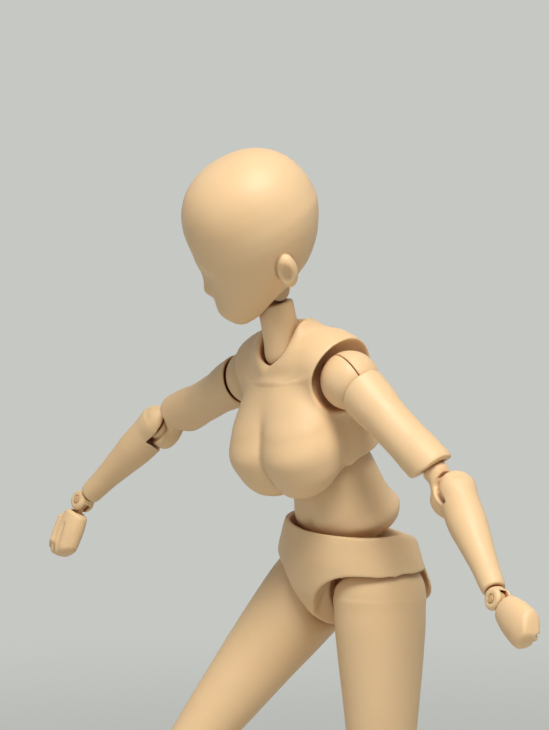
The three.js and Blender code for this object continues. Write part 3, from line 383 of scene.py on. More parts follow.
def surface(form, low, high, step):
    """Points and four-sided faces where the form is zero, on a grid between two corners."""
    counts = [int(math.ceil((h - l) / step)) + 1 for l, h in zip(low, high)]
    lines = [l + step * np.arange(n) for l, n in zip(low, counts)]
    values = form(np.meshgrid(*lines, indexing="ij")).astype(np.float32)
    for axis in range(3):
        edge = np.moveaxis(values, axis, 0)
        edge[0] = np.maximum(edge[0], OUTSIDE)
        edge[-1] = np.maximum(edge[-1], OUTSIDE)
    values[np.abs(values) < TINY] = TINY
    number, points = cell_points(values)
    points = points * step + np.array(low)
    for _ in range(MOVES):
        points = onto_surface(form, points, step)
    return points, cell_faces(values < 0, number)


SHAPES = {}
MARGIN = 0.7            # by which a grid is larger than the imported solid
BODY_OF = {node: body for body, members in frame["record"]["behaviour"]["bodies"].items()
           for node in members}


def shape_of(node, form, step):
    """The meshed form in its own frame, made once for both sides."""
    if node not in SHAPES:
        into = FRAMES[node].inverted()
        corners = np.array([into @ (v.co / MM) for v in frame["nodes"][node].data.vertices])
        SHAPES[node] = surface(form, corners.min(0) - MARGIN, corners.max(0) + MARGIN, step)
    return SHAPES[node]


def add_piece(node, form, step, material):
    """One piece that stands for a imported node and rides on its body."""
    body = BODY_OF[node]
    points, faces = shape_of(node.replace("right_", "left_"), form, step)
    if node.startswith("right_"):
        points, faces = points * (-1, 1, 1), faces[:, ::-1]
    place = np.array(FRAMES[node])
    points = (points @ place[:3, :3].T + place[:3, 3]) * MM
    mesh = bpy.data.meshes.new(f"{node}_form")
    mesh.from_pydata(points.tolist(), [], faces.tolist())
    mesh.polygons.foreach_set("use_smooth", [True] * len(mesh.polygons))
    mesh.materials.append(material)
    piece = bpy.data.objects.new(f"{node}_form", mesh)
    bpy.context.scene.collection.objects.link(piece)
    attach(piece, body)
    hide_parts(node)


# Camera, at the photograph's angle
AZIMUTH, ELEVATION, DISTANCE = 55.0, 10.3, 380.0
PIXELS_PER_MM = 8.0
FRAME_WIDTH, FRAME_HEIGHT = 549, 730
HIP_PIXEL = (351.6, 586.0)      # where the middle between the hips lies in the frame


def add_camera():
    """The camera. Gives the hips' place in metres, and its back, right and up directions."""
    a, e = math.radians(AZIMUTH), math.radians(ELEVATION)
    back = Vector((math.sin(a) * math.cos(e), -math.cos(a) * math.cos(e), math.sin(e)))
    right = Vector((math.cos(a), math.sin(a), 0))
    up = back.cross(right)
    hips = FRAMES["pelvis_shell"].translation
    focal = PIXELS_PER_MM * DISTANCE
    across = (FRAME_WIDTH / 2 - HIP_PIXEL[0]) / focal
    above = (HIP_PIXEL[1] - FRAME_HEIGHT / 2) / focal
    aim = (right * across + up * above - back).normalized()
    side = aim.cross(up).normalized()
    turn = Matrix((side, side.cross(aim), -aim)).transposed()
    data = bpy.data.cameras.new("camera")
    data.sensor_fit = "AUTO"
    data.sensor_width = 36.0
    data.lens = focal / math.sqrt(1 + across**2 + above**2) * data.sensor_width / FRAME_HEIGHT
    data.clip_start, data.clip_end = 0.01, 20
    camera = bpy.data.objects.new("camera", data)
    camera.matrix_world = Matrix.Translation((hips + back * DISTANCE) * MM) @ turn.to_4x4()
    bpy.context.scene.collection.objects.link(camera)
    bpy.context.scene.camera = camera
    return hips * MM, back, right, up


# Materials
def linear(hex_colour):
    """A colour written as six hex digits, as the shader's linear values."""
    parts = [int(hex_colour[i:i + 2], 16) / 255 for i in (0, 2, 4)]
    return [c / 12.92 if c <= 0.04045 else ((c + 0.055) / 1.055) ** 2.4 for c in parts] + [1]


# Painted shade: a brown for concave places and a reddish brown for gaps between pieces, mixed into the base colour
HOLLOW_SHADE_COLOUR, GAP_SHADE_COLOUR = "8A552C", "B0602F"
# The reach of the painted shade in gaps between pieces
GAP_REACH = 0.0016              # metres, within which a neighbour darkens a surface
SKIN_DEPTH = 0.00006            # metres, of the fine bumps


def plastic(name, light, dark, roughness):
    """Matte moulded plastic: faint mottling, painted shade darkening hollows and gaps between pieces, and a fine
    skin.
    """
    material = bpy.data.materials.new(name)
    material.use_nodes = True
    nodes, links = material.node_tree.nodes, material.node_tree.links
    shader = nodes["Principled BSDF"]
    shader.inputs["IOR"].default_value = 1.46
    shader.inputs["Subsurface Weight"].default_value = 0.22
    shader.inputs["Subsurface Radius"].default_value = (1.0, 0.42, 0.18)
    shader.inputs["Subsurface Scale"].default_value = 0.0016
    place = nodes.new("ShaderNodeTexCoord").outputs["Object"]

    def noise(scale, detail):
        node = nodes.new("ShaderNodeTexNoise")
        node.inputs["Scale"].default_value = scale
        node.inputs["Detail"].default_value = detail
        links.new(place, node.inputs["Vector"])
        return node.outputs["Fac"]

    def spread(source, *limits):
        node = nodes.new("ShaderNodeMapRange")
        for key, value in zip(("From Min", "From Max", "To Min", "To Max"), limits):
            node.inputs[key].default_value = value
        links.new(source, node.inputs["Value"])
        return node.outputs["Result"]

    def blend(share, first, second):
        node = nodes.new("ShaderNodeMix")
        node.data_type = "RGBA"
        for index, value in ((0, share), (6, first), (7, second)):
            if isinstance(value, bpy.types.NodeSocket):
                links.new(value, node.inputs[index])
            else:
                node.inputs[index].default_value = value
        return node.outputs[2]

    patches = spread(noise(scale=90, detail=3), 0.35, 0.65, 0.0, 0.3)
    mottled = blend(patches, linear(light), linear(dark))
    # Painted shade: concave places, found by their pointiness, take a darker brown
    geometry = nodes.new("ShaderNodeNewGeometry")
    hollow_shade_share = spread(geometry.outputs["Pointiness"], 0.42, 0.495, 1.0, 0.0)
    painted_hollow_shade = blend(hollow_shade_share, mottled, linear(HOLLOW_SHADE_COLOUR))
    # Painted shade: places near other surfaces, found by ambient occlusion, take a reddish brown, as in the gaps
    # between pieces
    occlusion = nodes.new("ShaderNodeAmbientOcclusion")
    occlusion.samples = 8
    occlusion.inputs["Distance"].default_value = GAP_REACH
    gap_shade_share = spread(occlusion.outputs["AO"], 0.08, 0.55, 1.0, 0.0)
    links.new(blend(gap_shade_share, painted_hollow_shade, linear(GAP_SHADE_COLOUR)), shader.inputs["Base Color"])
    fine = noise(scale=420, detail=4)
    gloss = spread(fine, 0.3, 0.7, roughness - 0.05, roughness + 0.06)
    links.new(gloss, shader.inputs["Roughness"])
    bump = nodes.new("ShaderNodeBump")
    bump.inputs["Strength"].default_value = 0.12
    bump.inputs["Distance"].default_value = SKIN_DEPTH
    links.new(noise(scale=2600, detail=2), bump.inputs["Height"])
    links.new(bump.outputs["Normal"], shader.inputs["Normal"])
    return material


SHELL = plastic("shell plastic", "EBC99C", "E3BD8C", 0.48)
JOINT = plastic("joint plastic", "D9AE7E", "CFA06E", 0.55)


# Torso
HIP_PEG_RADIUS = 1.1
TORSO_STEM_RADIUS = 0.9


def double_ball(distance):
    def form(p):
        stem = rod(p, "z", 0, distance, TORSO_STEM_RADIUS)
        return union(0.5, ball(p, TORSO_BALL), ball(p, TORSO_BALL, (0, 0, distance)), stem)
    return form


def hip_block(p):
    body = loft(p, [
        [-2.6, 1.2, 1.8, 1.8, 0, 0.3, 3], [-1.6, 2.0, 2.6, 2.6, 0, 0.3, 3],
        [1.6, 2.0, 2.6, 2.8, 0, 0.5, 3], [3.4, 2.6, 2.9, 2.9, 0, 1.0, 2.4],
        [6.4, 2.7, 2.7, 2.7, 0, 1.0, 2],
    ])
    bores = [rod(p, "x", s * 0.35, s * 9, HIP_PEG_RADIUS + PEG_GAP) for s in (1, -1)]
    return cut(0.12, body, ball(p, TORSO_BALL + PEG_GAP, (0, WAIST_SETBACK, WAIST_HEIGHT)), *bores)


LEG_GAP = 0.5
# Swing and spread of the thigh, in degrees, at which the shell leaves it room
LEG_ROOM_TURNS = ((-62, 9), (-40, 9), (-20, 9), (0, 9), (16, 9), (16, 30), (-48, 1), (-15, 1))
THIGH_SLANT = (-0.87, 0, 0.5)   # the cut across the thigh's inner top


def thigh_room(p, swing, spread):
    q = tilted(tilted(p, (HIP_HALF_SPACING, 0, 0), "x", swing), (0, 0, 0), "y", -spread)
    tube = rod(q, "z", -12, 0, THIGH_TOP + LEG_GAP, edge=0.5)
    return cut(0.3, tube, beyond(q, (-3.6 - LEG_GAP, 0, -2.5), THIGH_SLANT))


def pelvis_shell(p):
    """A shell open above and below, with room for the hip block and both thighs."""
    outer = loft(p, [
        [-4.5, 0.8, 2.8, 3.2, 0, 0.6], [-3.6, 4.6, 5.2, 6.2, 0, 0.4],
        [-1.2, 10.6, 7.0, 7.3, 0, 0.2, 2.3], [1.4, 11.9, 7.5, 7.3, 0, 0, 2.3],
        [4.6, 10.9, 7.5, 7.0, 0, 0.2, 2.2], [7.4, 9.8, 7.2, 6.5, 0, 0.4, 2.2],
        [9.3, 9.2, 6.9, 6.3, 0, 0.6, 2.1],
    ], edge=0.5)
    seat = [ellipsoid(p, (s * 4.2, 3.7, -0.6), (4.8, 4.2, 4.2)) for s in (1, -1)]
    outer = union(1.2, outer, *seat)
    rim = union(0.6, beyond(p, (0, 0, 8.3), (0, 0.12, 1)),
                beyond(p, (0, 1.8, 8.3), (0, 0.5, 1)))
    bowl = ellipsoid(p, (0, 0.4, 9.5), (9.0, 6.6, 5.4))
    inner = loft(p, [
        [-3.1, 1.8, 2.6, 2.6, 0, 0.3, 3], [-1.8, 2.3, 3.1, 3.1, 0, 0.3, 3],
        [1.8, 2.3, 3.1, 3.3, 0, 0.5, 3], [3.4, 3.1, 3.4, 3.4, 0, 1.0, 2.4],
        [6.7, 3.6, 3.6, 3.6, 0, 1.0, 2],
    ])
    near = (np.abs(p[0]), p[1], p[2])
    slope = common(0.3, beyond(near, (6.9, -0.65, -1.0), (0.6, -0.43, -0.68)),
                   beyond(near, (1.8, 0, 0), (1, 0, 0)))
    room = union(0.3, ball(near, THIGH_TOP + LEG_GAP, (HIP_HALF_SPACING, 0, 0)), slope,
                 *(thigh_room(near, *turn) for turn in LEG_ROOM_TURNS))
    return cut(0.45, outer, rim, bowl, inner, room)


def abdomen(p):
    body = loft(p, [
        [-3.4, 5.5, 3.3, 4.3, 0, -0.4], [-2.2, 7.3, 4.8, 5.2, 0, -0.5],
        [-0.8, 8.1, 5.8, 5.7, 0, -0.6], [0.6, 7.5, 6.0, 5.2, 0, -0.6],
        [2.4, 6.9, 5.6, 4.9, 0, -0.5], [4.0, 6.5, 5.1, 4.8, 0, -0.4],
        [6.0, 6.0, 4.6, 4.6, 0, -0.3], [7.8, 5.2, 4.1, 4.1, 0, -0.2], [9.4, 3.5, 2.9, 2.9, 0, 0],
    ], edge=0.5)
    spine = capsule(p, (0, 6.9, -1), (0, 6.1, 10), 1.3)
    middle = capsule(p, (0, -8.0, -1.0), (0, -6.6, 8), 1.4)
    block_room = union(0.3, common(0.2, ball(p, 5.15), p[2] + 1.2),
                       rod(tilted(p, (0, 0, 0), "x", -27), "z", -9, -3.6, 3.05, edge=0.3))
    body = cut(0.9, body, spine, middle)
    body = cut(0.3, body, block_room)
    ends = ((0, -4), (ABDOMEN_LENGTH, ABDOMEN_LENGTH + 4))
    rooms = [ball(p, TORSO_BALL + PEG_GAP, (0, 0, at)) for at, _ in ends]
    funnels = [capsule(p, (0, 0, at), (0, 0, out), 1.3, 4.2) for at, out in ends]
    return cut(0.15, body, *rooms, *funnels)


def breast(p, side):
    """A full drop: heavy below, with a long slope up to the collarbone."""
    return loft((side * p[0], p[1], p[2]), [
        [-5.8, 0.0, 0.0, 0.0, 2.6, -6.9], [-5.3, 2.0, 1.9, 2.0, 2.7, -6.8],
        [-4.6, 3.2, 3.0, 3.2, 2.8, -6.7], [-2.5, 4.6, 4.4, 4.3, 3.1, -6.3],
        [0.2, 5.1, 5.1, 4.6, 3.2, -6.1], [3.0, 4.8, 4.6, 4.0, 3.0, -5.3],
        [5.6, 4.6, 3.5, 3.0, 2.2, -4.5], [8.4, 4.0, 1.9, 2.0, 1.4, -3.6],
    ], edge=0.4)


def ribcage(p):
    """Ribs, shoulders and collar, before anything is cut out."""
    ribs = loft(p, [
        [-4.8, 7.2, 5.2, 5.9, 0, 0], [-1.5, 7.5, 5.2, 5.7, 0, 0], [2.0, 7.1, 5.6, 5.6, 0, 0.1, 2.2],
        [5.5, 6.9, 5.4, 5.6, 0, 0.2, 2.4], [8.5, 6.6, 4.8, 5.2, 0, 0.4, 2.4],
        [11.0, 5.6, 3.4, 3.8, 0, 0.6, 2.2],
    ], edge=0.5)
    flank = common(0.8, beyond(p, (0, 0, -3.1), (0, 0, -1)),
                   beyond(p, (0, -1.6, -3.1), (0, 1.2, -1)))
    ribs = cut(0.3, ribs, beyond(p, (0, -4, -3.6), (0, -0.35, -0.94)), flank)
    yoke = loft(p, [
        [-9.7, 3.4, 4.2, 3.2, 7.5, 0.4], [-8.4, 4.3, 4.9, 4.4, 7.7, 0.3],
        [-4.6, 5.2, 5.0, 5.2, 7.9, 0.3], [4.6, 5.2, 5.0, 5.2, 7.9, 0.3],
        [8.4, 4.3, 4.9, 4.4, 7.7, 0.3], [9.7, 3.4, 4.2, 3.2, 7.5, 0.4],
    ], axis="x", edge=0.6)
    collar = loft(p, [
        [8.0, 6.0, 4.4, 5.0, 0, 0], [10.6, 4.8, 4.8, 5.2, 0, -0.2],
        [12.6, 3.9, 4.1, 4.3, 0, -0.5], [COLLAR_HEIGHT, 3.35, 3.8, 3.7, 0, -0.6],
    ], edge=0.3)
    breastbone = capsule(p, (0, -4.3, 4.4), (0, -2.2, 9.4), 2.9, 2.4)
    return union(1.6, ribs, yoke, collar, breastbone)


def neck_well(p):
    """The hole that the neck stands in, longer above, in front and behind, for its bend."""
    side = NECK_RADIUS + GAP + 0.05
    top = COLLAR_HEIGHT + 4
    return union(0.3, ball(p, side, (0, NECK_SETBACK, NECK_HEIGHT)), loft(p, [
        [NECK_HEIGHT - 0.2, side, side, side, 0, NECK_SETBACK],
        [NECK_HEIGHT + 0.6, side, side + 0.4, side + 0.7, 0, NECK_SETBACK, 2.2],
        [top, side + 0.2, side + 4.4, side + 5.5, 0, NECK_SETBACK, 2.2],
    ]))


def chest(p):
    near = (np.abs(p[0]), p[1], p[2])
    breasts = smooth_min(breast(p, 1), breast(p, -1), 0.5)
    blades = ellipsoid(near, (4.2, 4.3, 4.0), (2.6, 1.8, 3.8))
    body = union(1.6, smooth_min(ribcage(p), breasts, 1.4), blades)
    body = cut(1.0, body, capsule(p, (0, 6.9, -5), (0, 7.3, 9), 1.3))
    opening = beyond(near, (0, -4.9, 10.3), (-0.25, -0.6, 0.8))
    socket = ellipsoid(near, (9.4, 0, 7.2), (4.7, 5.31, 4.47))
    body = cut(0.5, body, neck_well(p), opening, socket)
    barrel_half = COLLARBONE_HALF_HEIGHT + PEG_GAP
    barrel = rod(near, "z", SHOULDER_HEIGHT - barrel_half, SHOULDER_HEIGHT + barrel_half,
                 COLLARBONE_RADIUS + PEG_GAP, (COLLARBONE_OFFSET, COLLARBONE_SETBACK, 0))
    funnel = capsule(p, (0, 0, 0), (0, 0, -5), 1.3, 5.0)
    body = cut(0.25, body, barrel, ball(p, TORSO_BALL + PEG_GAP), funnel)
    return cut(0.35, body, ellipsoid(p, (0, -0.5, -5.2), (6.9, 6.0, 5.8)))


NECK_TAB_HALF, HEAD_SLOT_HALF, HEAD_PEG_RADIUS = 0.7, 0.9, 0.9


def neck(p):
    slim = NECK_RADIUS - 0.15
    column = loft(p, [
        [-1.2, 2.1, 2.1, 2.1], [0, NECK_RADIUS, NECK_RADIUS, NECK_RADIUS],
        [2.6, slim, slim, slim], [6.3, 2.2, 2.2, 2.2],
    ], edge=0.3)
    tab = rod(p, "x", -NECK_TAB_HALF, NECK_TAB_HALF, 1.5, (0, 0, NECK_LENGTH))
    web = block(p, (-NECK_TAB_HALF, -1.3, NECK_LENGTH - 2.1), (NECK_TAB_HALF, 1.3, NECK_LENGTH))
    bore = rod(p, "x", -2, 2, HEAD_PIN_RADIUS + PEG_GAP, (0, 0, NECK_LENGTH))
    return cut(0.1, union(0.25, ball(p, NECK_RADIUS), column, tab, web), bore)


def head_joint(p):
    drum = rod(p, "z", 0.6, 2.4, NECK_RADIUS - 0.2, edge=0.5)
    ears = cut(0.1, union(0.2, rod(p, "x", -1.6, 1.6, 1.5), drum),
               rod(p, "x", -HEAD_SLOT_HALF, HEAD_SLOT_HALF, 1.75),
               block(p, (-HEAD_SLOT_HALF, -2, -2), (HEAD_SLOT_HALF, 2, 0)))
    pin_shaft = rod(p, "x", -1.0, 1.0, HEAD_PIN_RADIUS)
    return union(0.1, ears, pin_shaft, rod(p, "z", 2.0, 5.6, HEAD_PEG_RADIUS))


def ear(near):
    """A shallow cup with a rolled rim above and behind, open towards the cheek."""
    q = tilted(tilted(near, (6.6, 0.9, 3.1), "y", 16), (0, 0, 0), "x", -12)
    pad = ellipsoid(q, (0, 0, 0), (1.1, 1.2, 2.3))
    cup = ellipsoid(q, (1.0, -0.7, 0.1), (0.75, 1.15, 1.5))
    return cut(0.25, pad, cup)


def head(joint_p):
    """Written about a point below and behind the head's joint."""
    p = (joint_p[0], joint_p[1] - HEAD_SETBACK, joint_p[2] + HEAD_DROP)
    near = (np.abs(p[0]), p[1], p[2])
    base, rise, roundness = 8.6, 8.3, 2.3
    dome = []
    for share in (0, 0.2, 0.4, 0.58, 0.74, 0.87, 0.95, 1):
        size = (1 - share**roundness) ** (1 / roundness)
        dome.append([base + rise * share, 7.85 * size, 8.6 * size, 8.1 * size, 0, -0.4])
    skull = loft(p, dome + [
        [-2.9, 0.0, 0.0, 0.0, 0, -6.6], [-2.65, 1.5, 1.0, 1.3, 0, -6.5],
        [-2.0, 2.8, 2.3, 4.2, 0, -6.0], [-0.4, 4.2, 4.4, 5.4, 0, -4.8],
        [1.8, 5.6, 6.2, 6.8, 0, -2.8], [4.6, 6.9, 8.0, 7.3, 0, -1.1],
        [6.8, 7.65, 8.5, 7.85, 0, -0.6],
    ], edge=0.1)
    nose = capsule(p, (0, -7.9, 4.8), (0, -8.9, 2.9), 0.5, 0.7)
    lips = ellipsoid(p, (0, -7.6, 0.6), (1.5, 0.9, 0.7))
    chin = ellipsoid(p, (0, -6.8, -1.8), (1.6, 0.9, 0.8))
    face = union(1.0, skull, nose)
    face = union(0.8, face, lips, chin)
    face = cut(1.8, face, ellipsoid(near, (3.3, -10.7, 4.7), (2.6, 2.2, 1.8)))
    face = union(0.45, face, ear(near))
    neck_room = loft(joint_p, [
        [-6, 3.3, 4.0, 3.6], [-1, 3.1, 3.5, 3.1], [2.2, 2.8, 2.8, 2.8],
    ])
    peg_room = rod(joint_p, "z", 0, 3.9, HEAD_PEG_RADIUS + PEG_GAP)
    return cut(0.35, face, union(0.2, neck_room, peg_room))


# Arms
SHOULDER_PEG_RADIUS, ARM_PEG_RADIUS, WRIST_PEG_RADIUS, HAND_PEG_RADIUS = 0.9, 1.0, 0.7, 0.6


def collarbone(p):
    bore = rod(p, "x", -1.4, 3, SHOULDER_PEG_RADIUS + PEG_GAP)
    half = COLLARBONE_HALF_HEIGHT
    return cut(0.1, rod(p, "z", -half, half, COLLARBONE_RADIUS, edge=0.25), bore)


def ball_half(radius, facing, peg_axis, peg_end, peg_radius, pin_length):
    """One half of a split ball, in front of its seam (-1) or behind it (1), with its peg."""
    def form(p):
        beyond_seam = SEAM / 2 - facing * p[1]
        whole = ball(p, radius)
        peg = rod(p, peg_axis, min(0, peg_end), max(0, peg_end), peg_radius)
        outside = cut(0.05, peg, whole - 0.25)
        half = common(0.16, union(0.3, whole, peg), beyond_seam)
        reach = pin_length / 2 + PEG_GAP
        bore = rod(p, "y", -reach, reach, BALL_PIN_RADIUS + PEG_GAP)
        return cut(0.05, union(0.02, half, outside), bore)
    return form


def pin(axis, length, radius, centre=(0, 0, 0), dimple=False):
    """A plain shaft, which may have a fine ring round the middle of its ends."""
    def form(p):
        shaft = rod(p, axis, -length / 2, length / 2, radius, centre, edge=0.14)
        if not dimple:
            return shaft
        from_axis = np.sqrt(p[1] ** 2 + (p[2] - centre[2]) ** 2)
        return groove(shaft, from_axis - 0.6 * radius, 0.05)
    return form


def upper_arm(p):
    end = UPPER_ARM_LENGTH - UPPER_ARM_END
    body = loft(p, [
        [-2.0, 3.2, 3.05, 3.15, 0.4], [-0.3 * end, 3.0, 2.95, 3.0, 0.3],
        [-0.48 * end, 2.65, 2.65, 2.7, 0.15], [-0.7 * end, 2.6, 2.6, 2.7, 0],
        [-0.87 * end, 2.8, 2.7, 2.8, 0], [-end, 2.8, 2.7, 2.75, 0],
        [-end - 0.9, 2.65, 2.55, 2.6, 0],
    ], edge=0.25)
    peg_room = rod(p, "z", -7.5, 0, ARM_PEG_RADIUS + PEG_GAP)
    lower_room = rod(p, "z", -end - 2, -end + 3.6, ARM_PEG_RADIUS + PEG_GAP)
    bell = rod(p, "z", -end - 2, -end + 0.3, 1.8, edge=0.3)
    slant = beyond(p, (-2.0, 0, -end + 0.8), (-0.42, -0.1, -0.9))
    body = cut(0.3, body, ball(p, SHOULDER_BALL + 0.25), slant)
    return cut(0.1, body, peg_room, lower_room, bell)


# Where the elbow's lobe, its boss, the forearm's ear and the pin begin and end along the axle
LOBE_IN, LOBE_OUT, LOBE_RADIUS = -2.5, -0.4, 2.6
BOSS_OUT = 0.45
EAR_IN, EAR_OUT = 0.75, 2.55
PIN_IN, PIN_OUT = LOBE_IN + 0.6, EAR_OUT - 0.5


def elbow_joint(p):
    neck_part = loft(p, [
        [0.2, 1.0, 1.9, 1.9, -1.4], [1.6, 1.05, 1.8, 1.8, -1.3],
        [2.7, 1.5, 1.55, 1.55, -0.35], [3.4, 1.5, 1.5, 1.5, 0], [4.3, 1.5, 1.5, 1.5, 0],
    ])
    neck_part = cut(0.2, neck_part, rod(p, "x", BOSS_OUT, 20, LOBE_RADIUS))
    lobe = rod(p, "x", LOBE_IN, LOBE_OUT, LOBE_RADIUS, edge=0.75)
    from_axle = np.sqrt(p[1] ** 2 + p[2] ** 2)
    rim_ring = np.sqrt((from_axle - 2.3) ** 2 + (p[0] - LOBE_OUT + 0.15) ** 2) - 0.3
    boss = rod(p, "x", LOBE_OUT - 0.3, BOSS_OUT, 1.9, edge=0.2)
    peg = rod(p, "z", 2.8, UPPER_ARM_END + 3.2, ARM_PEG_RADIUS)
    body = union(0.35, union(0.25, lobe, rim_ring), boss, neck_part)
    bore = rod(p, "x", PIN_IN - 0.1, 20, HINGE_BORE)
    return cut(0.1, union(0.2, body, peg), bore)


def forearm(p):
    end = FOREARM_LENGTH - FOREARM_END
    body = loft(p, [
        [0.6, 2.4, 2.1, 2.1, 0.1], [-1.6, 2.5, 2.3, 2.3, 0.05], [-0.3 * end, 2.4, 2.35, 2.3, 0],
        [-0.53 * end, 2.0, 2.0, 2.0, 0], [-0.77 * end, 1.6, 1.6, 1.65, 0],
        [-end + 0.6, 1.45, 1.45, 1.45, 0], [-end, 1.35, 1.35, 1.35, 0],
    ], edge=0.2)
    room = rod(p, "x", -20, EAR_IN, 2.9, edge=0.1)
    below = cut(0.2, body, room, beyond(p, (0, 0, 0), (0, 0, 1)))
    side_lobe = common(0.5, rod(p, "x", EAR_IN, EAR_OUT, 2.3, edge=0.3),
                       ellipsoid(p, (0, 0, 0), (EAR_OUT + 0.15, 2.55, 2.55)))
    joined = cut(0.15, union(0.6, below, side_lobe), room)
    bore = rod(p, "x", EAR_IN - 1, PIN_OUT + 0.1, HINGE_BORE)
    wrist_room = rod(p, "z", -end - 1, -end + 3.2, WRIST_PEG_RADIUS + PEG_GAP)
    return cut(0.08, joined, bore, wrist_room)


WRIST_SLOT_HALF, HAND_TAB_HALF = 0.55, 0.35


def wrist_joint(p):
    disc = union(0.3, rod(p, "x", -1.15, 1.15, 1.32, edge=0.45),
                 rod(p, "z", 0, 1.25, 1.1, edge=0.15))
    ears = cut(0.08, disc, rod(p, "x", -WRIST_SLOT_HALF, WRIST_SLOT_HALF, 1.2, edge=0.05),
               block(p, (-WRIST_SLOT_HALF, -2, -2), (WRIST_SLOT_HALF, 2, 0.5), edge=0.05))
    whole = union(0.1, ears, rod(p, "z", 1.1, 4.4, WRIST_PEG_RADIUS))
    return cut(0.12, whole, rod(p, "x", -2, 2, WRIST_PIN_RADIUS + 0.05))


def hand_peg(p):
    body = union(0.1, rod(p, "x", -HAND_TAB_HALF, HAND_TAB_HALF, 0.95, edge=0.08),
                 rod(p, "z", -4.2, -1.9, HAND_PEG_RADIUS),
                 block(p, (-HAND_TAB_HALF, -0.6, -2.1), (HAND_TAB_HALF, 0.6, 0), edge=0.08))
    return cut(0.05, body, rod(p, "x", -1, 1, WRIST_PIN_RADIUS + 0.1))


def hand(p):
    """A closed mitten: knuckles cut off at two slants, thumb and fingers folded in behind."""
    body = loft(p, [
        [-1.6, 1.4, 1.1, 1.1], [-1.95, 1.75, 1.35, 1.35], [-2.9, 2.05, 1.5, 1.5],
        [-4.4, 2.3, 1.6, 1.6], [-6.0, 2.4, 1.6, 1.6], [-7.4, 2.3, 1.3, 1.3],
        [-8.2, 2.0, 0.9, 0.9],
    ], edge=0.4)
    body = cut(0.5, body, beyond(p, (1.7, 0, -6.9), (0.62, 0, -0.78)),
               beyond(p, (-0.9, 0, -7.8), (-0.42, 0, -0.9)))
    thumb = capsule(p, (-1.5, 0.8, -3.3), (-0.6, 1.4, -6.2), 0.6, 0.45)
    body = union(0.35, body, thumb)
    crease = capsule(p, (0.2, 1.7, -3.6), (1.0, 1.7, -7.2), 0.22)
    fingers = [capsule(p, (at, 1.6, -6.8), (at, 0.5, -8.4), 0.16) for at in (-0.9, 0.1, 1.1)]
    body = cut(0.3, body, crease, *fingers)
    return cut(0.12, body, rod(p, "z", -4.5, -1, HAND_PEG_RADIUS + PEG_GAP))


# Legs
ANKLE_BALL = 1.7


def knee_end(p, height=0.0):
    """The cross barrel at the knee end of the thigh and the shin."""
    return rod(p, "x", -3.0, 3.0, KNEE_RADIUS, (0, 0, height), edge=0.4)


def knee_bore(p, height=0.0):
    reach = KNEE_PIN_LENGTH / 2 + 0.1
    return rod(p, "x", -reach, reach, HINGE_BORE, (0, 0, height))


def knee_slot(p, height, *boxes):
    """The slot that a lobe of the knee joint turns in, with boxes given in y and z."""
    half = KNEE_SLOT_HALF
    blocks = [block(p, (-half, y_low, z_low), (half, y_high, z_high))
              for (y_low, y_high), (z_low, z_high) in boxes]
    return union(0.05, rod(p, "x", -half, half, KNEE_RADIUS, (0, 0, height)), *blocks)


def thigh(p):
    end = THIGH_LENGTH
    body = loft(p, [
        [0, 5.7, 5.7, 5.6, 0], [-0.08 * end, 5.7, 5.7, 5.6, 0.1], [-0.23 * end, 5.4, 5.4, 5.3, 0.2],
        [-0.43 * end, 4.8, 4.8, 4.7, 0.3], [-0.66 * end, 4.1, 4.1, 4.0, 0.2],
        [-0.84 * end, 3.5, 3.5, 3.4, 0.1], [-0.94 * end, 3.1, 3.1, 3.0, 0],
        [-end, 2.9, 2.2, 2.2, 0],
    ])
    joined = union(0.3, ball(p, THIGH_TOP), body, knee_end(p, -end))
    slot = knee_slot(p, -end, ((-5, 5), (-end - 4, -end - 0.6)), ((0, 5), (-end - 1, -end + 2.0)))
    inner_cut = beyond(p, (-3.6, 0, -2.5), THIGH_SLANT)
    upper_cut = beyond(p, (0, 0, 2.2), (-0.5, 0, 0.87))
    flare = capsule(p, (-0.6, 0, 0), (-5.7, 0, 0), 2.2, 4.9)
    joined = cut(0.5, joined, inner_cut, upper_cut, flare)
    joined = cut(0.2, joined, ball(p, HIP_BALL + GAP), slot)
    return cut(0.1, joined, rod(p, "z", -8.3, 0, HIP_PEG_RADIUS + PEG_GAP), knee_bore(p, -end))


def knee_joint(p):
    """Two lobes, one in the thigh and one in the shin, with a rounded kneecap between."""
    cap = loft(p, [[-3.7, 1.5, 2.3, 1.6, 0, 0, 2.6], [-2.5, 1.6, 2.8, 1.8, 0, 0, 2.6],
                   [-1.3, 1.5, 2.3, 1.6, 0, 0, 2.6]])
    lobes = [rod(p, "x", -KNEE_LOBE_HALF, KNEE_LOBE_HALF, 2.0, (0, 0, at), edge=0.3)
             for at in (0, -KNEE_SPACING)]
    bores = [rod(p, "x", -4, 4, HINGE_BORE, (0, 0, at)) for at in (0, -KNEE_SPACING)]
    return cut(0.1, union(0.5, *lobes, cap), *bores)


def shin(p):
    end = SHIN_LENGTH
    body = loft(p, [
        [0, 2.9, 2.2, 2.2, 0], [-0.09 * end, 3.1, 2.7, 2.8, 0], [-0.25 * end, 3.3, 2.8, 3.8, 0],
        [-0.43 * end, 2.9, 2.6, 3.5, 0.1], [-0.64 * end, 2.2, 2.2, 2.5, 0.1],
        [-0.83 * end, 1.9, 2.0, 2.0, 0], [-0.96 * end, 2.2, 2.15, 2.2, 0],
        [-end - 0.4, 2.0, 1.9, 1.9, 0],
    ])
    body = union(0.4, body, knee_end(p))
    slot = knee_slot(p, 0, ((-5, 5), (0.6, 4)), ((0, 5), (-2.0, 1)))
    ankle = union(0.1, ball(p, ANKLE_BALL + PEG_GAP, (0, 0, -end)),
                  capsule(p, (0, 0, -end - 0.2), (0, 0, -end - 2), 1.2, 2.4))
    return cut(0.15, body, slot, ankle, knee_bore(p))


def ankle_joint(p):
    end = (0, 0, -ANKLE_STEM)
    body = union(0.2, ball(p, ANKLE_BALL), rod(p, "z", -ANKLE_STEM, 0, 0.8),
                 rod(p, "x", -0.75, 0.75, 1.4, end))
    return cut(0.08, body, rod(p, "x", -2, 2, ANKLE_PIN_RADIUS + PEG_GAP, end))


